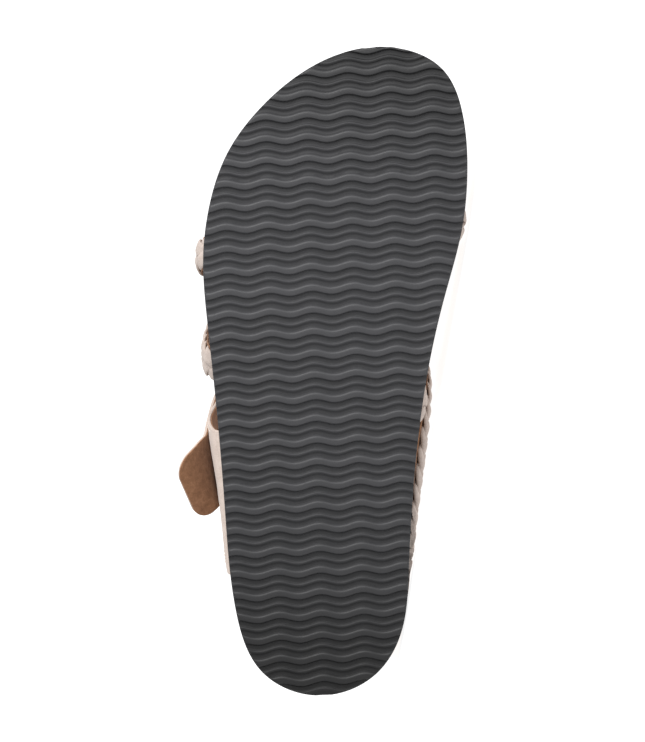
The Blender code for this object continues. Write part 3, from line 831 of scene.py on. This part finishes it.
def cork_material(nap):
    """Pressed cork: granules of different browns, dark specks of bark and a thin clear seal."""
    made, tree, place = new_material("cork", Specular_IOR_Level=0.35)
    granules = {"Vector": place, "Scale": 420.0, "Randomness": 1.0}
    cells = put(tree, "ShaderNodeTexVoronoi", granules).outputs
    edges = put(tree, "ShaderNodeTexVoronoi", granules, feature="DISTANCE_TO_EDGE").outputs["Distance"]
    kind = put(tree, "ShaderNodeSeparateColor", {"Color": cells["Color"]}).outputs["Red"]
    fibres = placed_group(tree, nap, Vector=place, Patch=600.0, Fibre=2400.0)
    bark, deep = (0.16, 0.085, 0.042), (0.33, 0.20, 0.105)
    middle, light = (0.44, 0.29, 0.165), (0.56, 0.39, 0.24)
    tone = ramp(tree, kind, (0.0, bark), (0.12, deep), (0.6, middle), (1.0, light))
    joint = ramp(tree, edges, (0.0, (0.55, 0.50, 0.45)), (0.16, WHITE))
    cloud = ramp(tree, fibres["Tone"], (0.3, (0.82, 0.80, 0.78)), (0.7, WHITE))
    rough = spread(tree, kind, 0.62, 0.82)
    height = sums(tree, "ADD", spread(tree, edges, 0.0, 3.0), sums(tree, "MULTIPLY", fibres["Height"], 0.4))
    return dressed(made, multiplied(tree, tone, joint, cloud), rough, height, 0.45, 0.15 * MM)


def thread_material():
    """Waxed sewing thread, a shade lighter than the leather, with its twist."""
    made, tree, place = new_material("blush_thread", Specular_IOR_Level=0.4)
    turns = {"Vector": place, "Scale": 1400.0, "Distortion": 1.5}
    twist = put(tree, "ShaderNodeTexWave", turns).outputs["Fac"]
    tone = ramp(tree, twist, (0.0, (0.56, 0.46, 0.39)), (1.0, (0.80, 0.71, 0.63)))
    return dressed(made, tone, spread(tree, twist, 0.55, 0.75), twist, 0.4, 0.05 * MM)


def tread_lines():
    """Lines of the tread from heel to toe: distance and share of the channel's depth, wave left out."""
    reach = TREAD_SKEW * BALL_WIDTH + 2 * WAVE_HEIGHT
    first = math.floor(-reach / TREAD_PITCH)
    last = math.ceil((LENGTH + reach) / TREAD_PITCH)
    lines = [
        (n * TREAD_PITCH + place * MM, depth) for n in range(first, last) for place, depth in TREAD_PROFILE
    ]
    lines = np.array(lines)
    tips = [np.arange(end - reach, end + reach, TIP_STEP) for end in (0, LENGTH)]
    tips = np.concatenate(tips)
    lines = np.vstack([lines, np.column_stack([tips, np.interp(tips, lines[:, 0], lines[:, 1])])])
    return lines[np.argsort(lines[:, 0])]


def tread_along(line, across):
    """Where a line of the tread runs at places across the sole."""
    width = on_edge(INNER_EDGE, line)[1] - on_edge(OUTER_EDGE, line)[1]
    height = WAVE_HEIGHT * np.clip(width / WAVE_FULL_WIDTH, WAVE_LOWEST, 1)
    shift = WAVE_SHIFT + WAVE_DRIFT * line
    return line + TREAD_SKEW * across + height * np.sin(2 * math.pi * (across - shift) / WAVE_LENGTH)


def inside_outline(along, across):
    within = (along > 0) & (along < LENGTH)
    return within & (across > on_edge(OUTER_EDGE, along)[1]) & (across < on_edge(INNER_EDGE, along)[1])


def line_end(line, inside, outside):
    """Where lines of the tread meet the outline, between places inside and outside it."""
    for _ in range(HALVINGS):
        middle = (inside + outside) / 2
        within = inside_outline(tread_along(line, middle), middle)
        inside = np.where(within, middle, inside)
        outside = np.where(within, outside, middle)
    return inside


def tread_rows():
    """Tread lines that cross the sole: distance, depth and the places across of their two ends."""
    lines = tread_lines()
    across = np.linspace(*SEARCH_ACROSS, SEARCH_STEPS)
    along = tread_along(lines[:, :1], across[None])
    within = inside_outline(along, np.broadcast_to(across, along.shape))
    kept = within.sum(axis=1) * (across[1] - across[0]) > END_WIDTH
    lines, within = lines[kept], within[kept]
    first = within.argmax(axis=1)
    last = within.shape[1] - 1 - within[:, ::-1].argmax(axis=1)
    low = line_end(lines[:, 0], across[first], across[first - 1])
    high = line_end(lines[:, 0], across[last], across[last + 1])
    return np.column_stack([lines, low, high])


def outline_distance(along, across):
    """Distance of points inside the sole from its outline."""
    edge = np.vstack([OUTER_EDGE[:, :2], INNER_EDGE[::-1, :2]])[::2]
    start, step = edge, np.roll(edge, -1, axis=0) - edge
    size = np.maximum(np.sum(step**2, axis=1), TINY)
    points = np.column_stack([along, across])
    nearest = np.full(len(points), np.inf)
    for part in np.array_split(np.arange(len(points)), DISTANCE_PARTS):
        away = points[part, None] - start[None]
        share = np.clip(np.sum(away * step, axis=2) / size, 0, 1)
        gaps = np.linalg.norm(away - share[..., None] * step, axis=2)
        nearest[part] = gaps.min(axis=1)
    return nearest


def outsole_piece(material):
    """The outsole, rolled up from one grid: the ribbed tread, the sides and the top under the footbed."""
    line, depth, low, high = tread_rows().T
    margin = EDGE_STEPS[-1]
    shares = np.linspace(0, 1, TREAD_COLUMNS + 2)[1:-1]
    places = [low + step for step in EDGE_STEPS]
    places += [low + margin + (high - low - 2 * margin) * share for share in shares]
    places += [high - step for step in EDGE_STEPS[::-1]]
    columns = []
    for y in places:
        x = tread_along(line, y)
        near = np.clip(1 - outline_distance(x, y) / EDGE_ROUND, 0, 1)
        rounding = EDGE_ROUND * (1 - np.sqrt(1 - near**2))
        z = spring(x) + np.maximum(depth * CHANNEL_DEPTH, rounding)
        # The fourth value is kept as the groove attribute: the channels' painted shade and the roughness
        # follow it; the rounded edge takes at least WALL_TONE of it
        columns.append(np.column_stack([x, y, z, np.maximum(depth, WALL_TONE * near)]))
    top = OUTSOLE_THICKNESS
    levels = ((0.0, top / 2), (0.0, top - TOP_ROUND), (TOP_ROUND, top))
    walls = [(INNER_EDGE, high, *level) for level in levels]
    walls += [(OUTER_EDGE, low, *level) for level in levels[::-1]]
    for edge, end, inset, level in walls:
        x, y = on_edge(edge, tread_along(line, end), inset)
        columns.append(np.column_stack([x, y, level + spring(x), np.full(len(x), WALL_TONE)]))
    obj = rolled("outsole_wave_tread", columns, "groove")
    smoothed(obj, degrees=38)
    finished(obj, material, "outsole")


def stations(count):
    """Places from heel to toe, closer together near the round ends."""
    t = np.linspace(0, 1, count + 1)
    crowded = t - END_CROWDING * np.sin(2 * math.pi * t) / (2 * math.pi)
    return END_TRIM + crowded * (LENGTH - 2 * END_TRIM)


def sole_tube(name, rows, ring):
    """A solid of the sole from one rolled-up grid; a ring point is across, inset and a height function."""
    along = stations(rows)
    columns = []
    for across, inset, height in ring:
        outer = np.stack(on_edge(OUTER_EDGE, along, inset), axis=1)
        inner = np.stack(on_edge(INNER_EDGE, along, inset), axis=1)
        share = (across + 1) / 2
        flat = outer * (1 - share) + inner * share
        z = height(flat[:, 0], np.full(len(flat), across)) + spring(flat[:, 0])
        columns.append(np.column_stack([flat, z]))
    return rolled(name, columns)


def between(low, high, share):
    """Height function at a share of the way between two others."""
    return lambda x, v: low(x, v) * (1 - share) + high(x, v) * share


def footbed_piece(material):
    """Cork footbed: a flared side, a rounded rim and the dish that the foot rests in."""

    def base(along, across):
        return np.full(along.shape, JOINT)

    flare = np.linspace(0, FLARE_TOP, FLARE_STEPS)
    lean = FLARE_REACH * (RIM_INSET - BED_INSET)
    sides = [(share, BED_INSET + lean * share**FLARE_POWER) for share in flare]
    sides += [(share, RIM_INSET - back) for share, back in RIM_ROUND]
    ring = [(-1, BED_INSET, base), (0, BED_INSET, base)]
    ring += [(1, inset, between(base, bed_height, share)) for share, inset in sides]
    ring += [(across, RIM_INSET, bed_height) for across in np.linspace(1, -1, FOOTBED_COLUMNS)]
    ring += [(-1, inset, between(base, bed_height, share)) for share, inset in sides[:0:-1]]
    obj = sole_tube("cork_footbed", FOOTBED_ROWS, ring)
    smoothed(obj, degrees=40)
    finished(obj, material, "footbed")


def lining_height(level):
    return lambda x, v: bed_height(x, v) + FIT_GAP + level


def insole_piece(material):
    """Suede insole over the dish, with a rounded edge and two slots for the toe loop."""
    edge = [
        (LINING_INSET + LINING_ROUND * (1 - math.cos(a)), LINING_THICKNESS - LINING_ROUND * (1 - math.sin(a)))
        for a in np.radians(ROUNDING_ANGLES)
    ]
    ring = [(across, LINING_INSET, lining_height(0.0)) for across in np.linspace(-1, 1, INSOLE_BELOW)]
    ring += [(1, inset, lining_height(level)) for inset, level in edge]
    above = np.linspace(1, -1, INSOLE_ABOVE)[1:-1]
    ring += [(across, edge[-1][0], lining_height(LINING_THICKNESS)) for across in above]
    ring += [(-1, inset, lining_height(level)) for inset, level in edge[::-1]]
    obj = sole_tube("suede_insole", INSOLE_ROWS, ring)
    for foot in TOE_LOOP_FEET:
        cut_slot(obj, foot)
    closed_tube(obj)
    smoothed(obj, degrees=40)
    finished(obj, material, "insole")


def cut_slot(obj, foot):
    """Cuts the slot where a foot of the toe loop goes through the insole."""
    along = TOE_LOOP_ALONG * LENGTH
    cutter = added(bpy.ops.mesh.primitive_cube_add, size=1.0)
    lay(cutter, coordinates(cutter.data) * TOE_LOOP_SLOT + (along, foot, bed_point(along, foot)))
    modified(cutter, "BEVEL", width=TOE_LOOP_SLOT_ROUND, segments=4)
    modified(obj, "BOOLEAN", object=cutter, operation="DIFFERENCE", solver="EXACT")
    bpy.data.objects.remove(cutter)


def near_crossing(points, other):
    """Share from 0 to 1 of how near points of a strap are to another strap."""
    gap = np.linalg.norm(points[:, None] - other[None], axis=2).min(axis=1)
    return np.exp(-((gap / CROSSING_REACH) ** 2))


def strap_axes(points, normals):
    """Directions along and across a strap, and its normal squared up to them."""
    ahead = unit(np.gradient(points, axis=0))
    squared = unit(normals - np.sum(normals * ahead, axis=1)[:, None] * ahead)
    return ahead, np.cross(squared, ahead), squared


def strip_tube(name, centre, flat, proud, half_width, half_thick):
    """A strip along a line; its section is a flat oval that lies in the two given directions."""
    turn = np.linspace(0, 2 * math.pi, STRIP_SIDES, endpoint=False)
    across = signed_power(np.cos(turn), 2 / STRIP_SQUARE)
    out = signed_power(np.sin(turn), 2 / STRIP_SQUARE)
    flat = flat * np.broadcast_to(half_width, len(centre))[:, None]
    proud = proud * np.broadcast_to(half_thick, len(centre))[:, None]
    obj = rolled(name, [centre + wide * flat + high * proud for wide, high in zip(across, out)])
    smoothed(obj, degrees=60)
    return obj


def strand_piece(name, points, side, normal, lift, half_width, turns, flat_start, padding):
    """One flat strip of a plait, which swings from side to side and passes over and under the others."""
    reach = lengths_along(points)
    length, flatness = flat_start
    start = flatness + (1 - flatness) * ease(reach / length)
    end = END_FLATNESS + (1 - END_FLATNESS) * ease((reach[-1] - reach) / BRAID_END)
    fade = np.minimum(start, end)
    angle = 2 * math.pi * (reach / BRAID_PERIOD + turns)
    thick = STRAND_HALF_THICK * fade + padding / 4
    rise = BACKING - padding / 2 + thick + STRAND_RISE * fade * (1 + np.sin(2 * angle)) + lift
    swing = STRAND_SWING * half_width * np.sin(angle)
    centre = points + swing[:, None] * side + rise[:, None] * normal
    _, strip_side, strip_normal = strap_axes(centre, normal)
    roll = STRAND_ROLL * np.sin(angle)[:, None]
    flat = strip_side * np.cos(roll) - strip_normal * np.sin(roll)
    proud = strip_normal * np.cos(roll) + strip_side * np.sin(roll)
    return strip_tube(name, centre, flat, proud, STRAND_HALF_WIDTH * half_width, thick)


def cut_at_joint(obj):
    """Cuts a strap off at the joint between the outsole and the footbed."""
    with editing(obj):
        joint = to_row((0, 0, JOINT))
        bpy.ops.mesh.bisect(plane_co=joint, plane_no=TURN[:, 2], clear_inner=True)
    closed_tube(obj)
    smoothed(obj, degrees=60)
    return obj


def plait(name, points, normals, lift, half_width, leather, suede, node, flat_start=FLAT_START, padding=0.0):
    """Three plaited strips on a suede backing; padding makes the strips and the backing thicker."""
    _, side, normal = strap_axes(points, normals)
    strands = []
    for third in range(3):
        strand = strand_piece(name, points, side, normal, lift, half_width, third / 3, flat_start, padding)
        strands.append(cut_at_joint(strand))
    finished(joined(name, strands), leather, node)
    thick = (BACKING + BACKING_FILL) / 2 + padding / 4
    middle = points + (lift - padding + thick)[:, None] * normal
    backing = strip_tube(f"{name}_backing", middle, side, normal, half_width, thick)
    cut_at_joint(backing)
    finished(backing, suede, node)


def end_piece(points, normals, lift, leather):
    """Plain piece of leather folded round the rear end of the instep braid."""
    kept = lengths_along(points) < END_PIECE_LENGTH
    points, lift = points[kept], lift[kept]
    _, side, normal = strap_axes(points, normals[kept])
    reach = lengths_along(points) / END_PIECE_LENGTH
    wide = END_PIECE_HALF_WIDTH * (1 - END_PIECE_TAPER * reach**4)
    thick = END_PIECE_HALF_THICK * (END_PIECE_THIN_END + (1 - END_PIECE_THIN_END) * reach)
    middle = points + (thick + lift)[:, None] * normal
    obj = cut_at_joint(strip_tube("instep_end_piece", middle, side, normal, wide, thick))
    finished(obj, leather, "braided_straps")


def braided_pieces(leather, suede):
    """The two braids that cross over the forefoot and the instep braid, which passes over one of them."""
    routes = [cross_route(*FRONT_CROSS), cross_route(*REAR_CROSS), table_route(INSTEP_BRAID, BRAID_STEP)]
    places = [form_point(route[:, 0], route[:, 1]) for route in routes]
    normals = [form_normal(route[:, 0], route[:, 1]) for route in routes]
    front, rear, instep = places
    under = np.maximum(near_crossing(front, rear), near_crossing(front, instep))
    lifts = [
        -CROSSING_SINK * under,
        CROSSING_LIFT * near_crossing(rear, front),
        routes[2][:, 2] + CROSSING_LIFT * near_crossing(instep, front),
    ]
    names = ("front_cross_braid", "rear_cross_braid", "instep_braid")
    drawn = (tucked(front), tucked(rear), instep)
    flat_starts = (FLAT_START, FLAT_START, INSTEP_FLAT_START)
    paddings = (0.0, 0.0, routes[2][:, 2])
    for name, points, normal, lift, flat, padding in zip(names, drawn, normals, lifts, flat_starts, paddings):
        plait(name, points, normal, lift, BRAID_HALF_WIDTH, leather, suede, "braided_straps", flat, padding)
    end_piece(instep, normals[2], lifts[2], leather)


def toe_loop_piece(leather, suede):
    """Braided arch over the big toe."""
    first, last = TOE_LOOP_FEET
    along = TOE_LOOP_ALONG * LENGTH
    feet = [bed_point(along, foot) for foot in TOE_LOOP_FEET]
    turn = np.linspace(0, math.pi, TOE_LOOP_STEPS)
    up = np.sin(turn) ** TOE_LOOP_ROUND
    swing = signed_power(np.cos(turn), TOE_LOOP_ROUND)
    across = (first + last) / 2 - swing * (last - first) / 2
    base = np.interp(across, (first, last), feet)
    points = np.stack([along + TOE_LOOP_LEAN * up**2, across, base + TOE_LOOP_HEIGHT * up], axis=1)
    reach = lengths_along(points)
    points = at_reach(points, reach, np.linspace(0, reach[-1], round(reach[-1] / BRAID_STEP)))
    centre = np.array((0, (first + last) / 2, np.mean(feet) + TOE_LOOP_CENTRE * TOE_LOOP_HEIGHT))
    normals = points - centre
    normals[:, 0] = 0
    normals[:, 2] = np.clip(normals[:, 2], 0, None)
    lift = np.zeros(len(points))
    plait("toe_loop_braid", points, normals, lift, TOE_LOOP_HALF_WIDTH, leather, suede, "toe_loop")


def strap_line():
    """Middle line of the closing strap's inner face, with its side and normal, which turn at the free tab."""
    route = table_route(CLOSING_STRAP, STRAP_STEP)
    normals = form_normal(route[:, 0], route[:, 1])
    points = form_point(route[:, 0], route[:, 1]) + route[:, 2:3] * normals
    _, side, normal = strap_axes(points, normals)
    reach = lengths_along(points)
    free = np.clip(1 - (reach[-1] - reach) / TAB_FREE, 0, 1)
    twist = TAB_TWIST * free[:, None]
    turned_side = side * np.cos(twist) + normal * np.sin(twist)
    return reach, points, turned_side, normal * np.cos(twist) - side * np.sin(twist)


def strap_half_width(reach, whole, margin):
    """Half width of the closing strap, with round corners at its free end."""
    left = np.clip(whole - margin - reach, 0, None)
    nose = np.clip(1 - left / TAB_CORNER, 0, 1)
    rounding = TAB_CORNER * (1 - np.sqrt(1 - TAB_NOSE * nose**2))
    return TAB_HALF_WIDTH - margin - STRAP_TAPER * (whole - reach) / whole - rounding


def pressed(points, creases, on_piece):
    """How deep creases press into points of a piece: a soft trough along each, between two low ridges."""
    depth = np.zeros(len(points))
    share = np.linspace(0, 1, CREASE_STEPS)[:, None]
    for start, end, half_width, deepest in creases:
        line = on_piece(*((1 - share) * start + share * end).T)
        away = np.linalg.norm(points[:, None] - line[None], axis=2).min(axis=1) / (half_width * MM)
        depth += deepest * MM * (np.exp(-(away**2)) - CREASE_RIDGE * np.exp(-((away - RIDGE_AWAY) ** 2)))
    return depth


def strap_sheet(name, height, margin):
    """A layer of the closing strap as an open sheet, margin narrower all round."""
    reach, points, side, normal = strap_line()
    whole = reach[-1]

    def on_strap(along, across):
        at = margin + (whole - 2 * margin) * along
        half = strap_half_width(at, whole, margin)
        return at_reach(points, reach, at) + ((2 * across - 1) * half)[:, None] * at_reach(side, reach, at)

    def place(along, across):
        along = np.sin(along * math.pi / 2)
        flat = on_strap(along, across)
        level = height - pressed(flat, STRAP_CREASES, on_strap)
        return flat + level[:, None] * at_reach(normal, reach, margin + (whole - 2 * margin) * along)

    return sheet(name, *STRAP_GRID, place)


def layers(outside, lining, leather, suede, node):
    """Makes the leather sheet and the lining sheet of a piece solid, with rounded edges."""
    for obj, thickness, rounding, material, slot in (
        (outside, LEATHER, LEATHER_ROUND, leather, "blush_leather"),
        (lining, LINING_SKIN, LINING_SKIN_ROUND, suede, "brown_suede"),
    ):
        turned_out(obj)
        modified(obj, "SOLIDIFY", thickness=thickness, offset=1.0, use_even_offset=True)
        modified(obj, "BEVEL", width=rounding, segments=3, limit_method="ANGLE", angle_limit=BEVEL_ANGLE)
        smoothed(obj, degrees=45)
        finished(obj, material, node)


def closing_strap_pieces(leather, suede, thread):
    """Closing strap in two layers: leather outside, suede lining inside, sewn near the edge."""
    outside = strap_sheet("closing_strap_leather", LINING_SKIN, LEATHER_MARGIN)
    lining = strap_sheet("closing_strap_lining", 0.0, 0.0)
    layers(outside, lining, leather, suede, "closing_strap")
    reach, points, side, normal = strap_line()
    points = points + (LINING_SKIN + LEATHER) * normal
    half = strap_half_width(reach, reach[-1], SEAM_MARGIN)
    inner = (reach > SEAM_MARGIN) & (reach < reach[-1] - SEAM_MARGIN)
    left = (points - half[:, None] * side)[inner]
    right = (points + half[:, None] * side)[inner]
    outline = np.vstack([left, right[::-1]])
    sewn = stitches("closing_strap_stitches", outline, np.vstack([normal[inner], normal[inner][::-1]]))
    finished(sewn, thread, "closing_strap")


def panel_form(along, around):
    """Place along the sandal and turn of a spot of the panel, for shares along it and up from the joint."""
    table = np.array(SIDE_PANEL)
    turn = table[0, 0] + around * (table[-1, 0] - table[0, 0])
    rear = smooth(table[:, 0], table[:, 1], turn) * LENGTH
    front = smooth(table[:, 0], table[:, 2], turn) * LENGTH
    return rear * (1 - along) + front * along, np.radians(turn)


def panel_point(along, around, height):
    """Point of the side panel at a height over the upper's form, with the panel's creases pressed in."""
    place, turn = panel_form(along, around)
    flat = form_point(place, turn)
    depth = pressed(flat, PANEL_CREASES, lambda u, v: form_point(*panel_form(u, v)))
    return tucked(flat + (height - depth)[:, None] * form_normal(place, np.maximum(turn, LOWEST_TURN)))


def side_panel_pieces(leather, suede, thread):
    """Outer side panel in two layers, sewn along its front, top and rear edges."""

    def lining_point(along, around):
        inset = PANEL_LINING_INSET
        return panel_point(inset + along * (1 - 2 * inset), around * (1 - inset), 0.0)

    outside = sheet("side_panel_leather", *PANEL_GRID, lambda u, v: panel_point(u, v, LINING_SKIN))
    lining = sheet("side_panel_lining", *PANEL_GRID, lining_point)
    layers(outside, lining, leather, suede, "side_panel")
    side_steps, top_steps = PANEL_SEAM_STEPS
    level = LINING_SKIN + LEATHER
    up = np.linspace(*PANEL_SEAM_UP, side_steps)
    inset = PANEL_SEAM_INSET[0] + (PANEL_SEAM_INSET[1] - PANEL_SEAM_INSET[0]) * up
    top = np.linspace(inset[-1], 1 - inset[-1], top_steps)
    along = np.concatenate([inset, top, 1 - inset[::-1]])
    around = np.concatenate([up, np.full(len(top), up[-1]), up[::-1]])
    seam = panel_point(along, around, level)
    normal = unit(panel_point(along, around, level + 1 * MM) - seam)
    sewn = stitches("side_panel_stitches", seam, normal)
    finished(sewn, thread, "side_panel")


def stitches(name, path, normals):
    """Stitches along a path: one is modelled, then copied and joined."""
    ball = bpy.ops.mesh.primitive_uv_sphere_add
    model = added(ball, segments=STITCH_SIDES, ring_count=STITCH_RINGS, radius=1.0)
    shape = coordinates(model.data)
    reach = lengths_along(path)
    count = int(reach[-1] / (STITCH_LENGTH + STITCH_GAP))
    copies = []
    for middle in (np.arange(count) + 0.5) * reach[-1] / count:
        first, last = (at_reach(path, reach, middle + end * STITCH_LENGTH / 2) for end in (-1, 1))
        ahead = unit(last - first)
        out = at_reach(normals, reach, middle)
        out = unit(out - np.dot(out, ahead) * ahead)
        side = np.cross(out, ahead)
        axes = np.stack([ahead * STITCH_LENGTH / 2, side * STITCH_RADIUS, out * STITCH_RADIUS])
        copy = model.copy()
        copy.data = model.data.copy()
        bpy.context.collection.objects.link(copy)
        lay(copy, (first + last) / 2 + shape @ axes)
        copies.append(copy)
    bpy.data.objects.remove(model)
    obj = joined(name, copies)
    smoothed(obj, degrees=60)
    return obj


def floor_piece():
    """Wide pale floor."""
    circle = bpy.ops.mesh.primitive_circle_add
    floor = added(circle, vertices=FLOOR_SIDES, radius=FLOOR_RADIUS, fill_type="NGON")
    floor.name = "floor"
    pale = (FLOOR_GREY, FLOOR_GREY, FLOOR_GREY, 1.0)
    glow = {"Emission_Color": (*WHITE, 1.0), "Emission_Strength": FLOOR_GLOW}
    made = new_material("pale_floor", Base_Color=pale, Specular_IOR_Level=0.0, Roughness=1.0, **glow)[0]
    floor.data.materials.append(made)


def key_light():
    """Soft square light from the toe's side, which rakes over the ribs."""
    light = bpy.data.lights.new("key_from_toe", "AREA")
    light.shape = "SQUARE"
    light.size = KEY_SIZE
    light.energy = KEY_POWER
    obj = bpy.data.objects.new("key_from_toe", light)
    bpy.context.scene.collection.objects.link(obj)
    obj.location = to_row(KEY_PLACE)
    direction = Vector(to_row((LENGTH / 2, 0, 0))) - obj.location
    obj.rotation_euler = direction.to_track_quat("-Z", "Y").to_euler()


def studio():
    """White surroundings."""
    world = bpy.data.worlds.new("white_studio")
    world.use_nodes = True
    background = world.node_tree.nodes["Background"]
    background.inputs["Color"].default_value = (*WHITE, 1.0)
    background.inputs["Strength"].default_value = 1.0
    bpy.context.scene.world = world
    bpy.context.scene.view_settings.view_transform = "Standard"


def camera():
    """Camera square on to the tread, with the toe at the top of the picture."""
    data = bpy.data.cameras.new("camera")
    data.sensor_width = SENSOR_WIDTH
    data.lens = data.sensor_width * CAMERA_DISTANCE / (PHOTO_SIZE[1] * METRES_PER_PIXEL)
    data.clip_end = CAMERA_CLIP
    obj = bpy.data.objects.new("camera", data)
    bpy.context.scene.collection.objects.link(obj)
    toe, inner, up = (Vector(TURN[:, i]) for i in range(3))
    turn = Matrix((inner, toe, -up)).transposed().to_4x4()
    obj.matrix_world = Matrix.Translation(to_row((*FRAME_CENTRE, -CAMERA_DISTANCE))) @ turn
    bpy.context.scene.camera = obj


nap = nap_group()
grain = grain_group()
rubber = rubber_material(nap, grain)
nubuck = nubuck_material("blush_leather", nap, grain, *PLAIN_NUBUCK)
# Painted shade: the braids get a darker copy of the same blush nubuck, for the shade between their strands
shaded_braid_nubuck = nubuck_material("blush_leather_shaded_strips", nap, grain, *SHADED_BRAID_NUBUCK)
suede = suede_material(nap)
cork = cork_material(nap)
thread = thread_material()

outsole_piece(rubber)
footbed_piece(cork)
insole_piece(suede)
braided_pieces(shaded_braid_nubuck, suede)
toe_loop_piece(shaded_braid_nubuck, suede)
side_panel_pieces(nubuck, suede, thread)
closing_strap_pieces(nubuck, suede, thread)
floor_piece()
studio()
key_light()
camera()
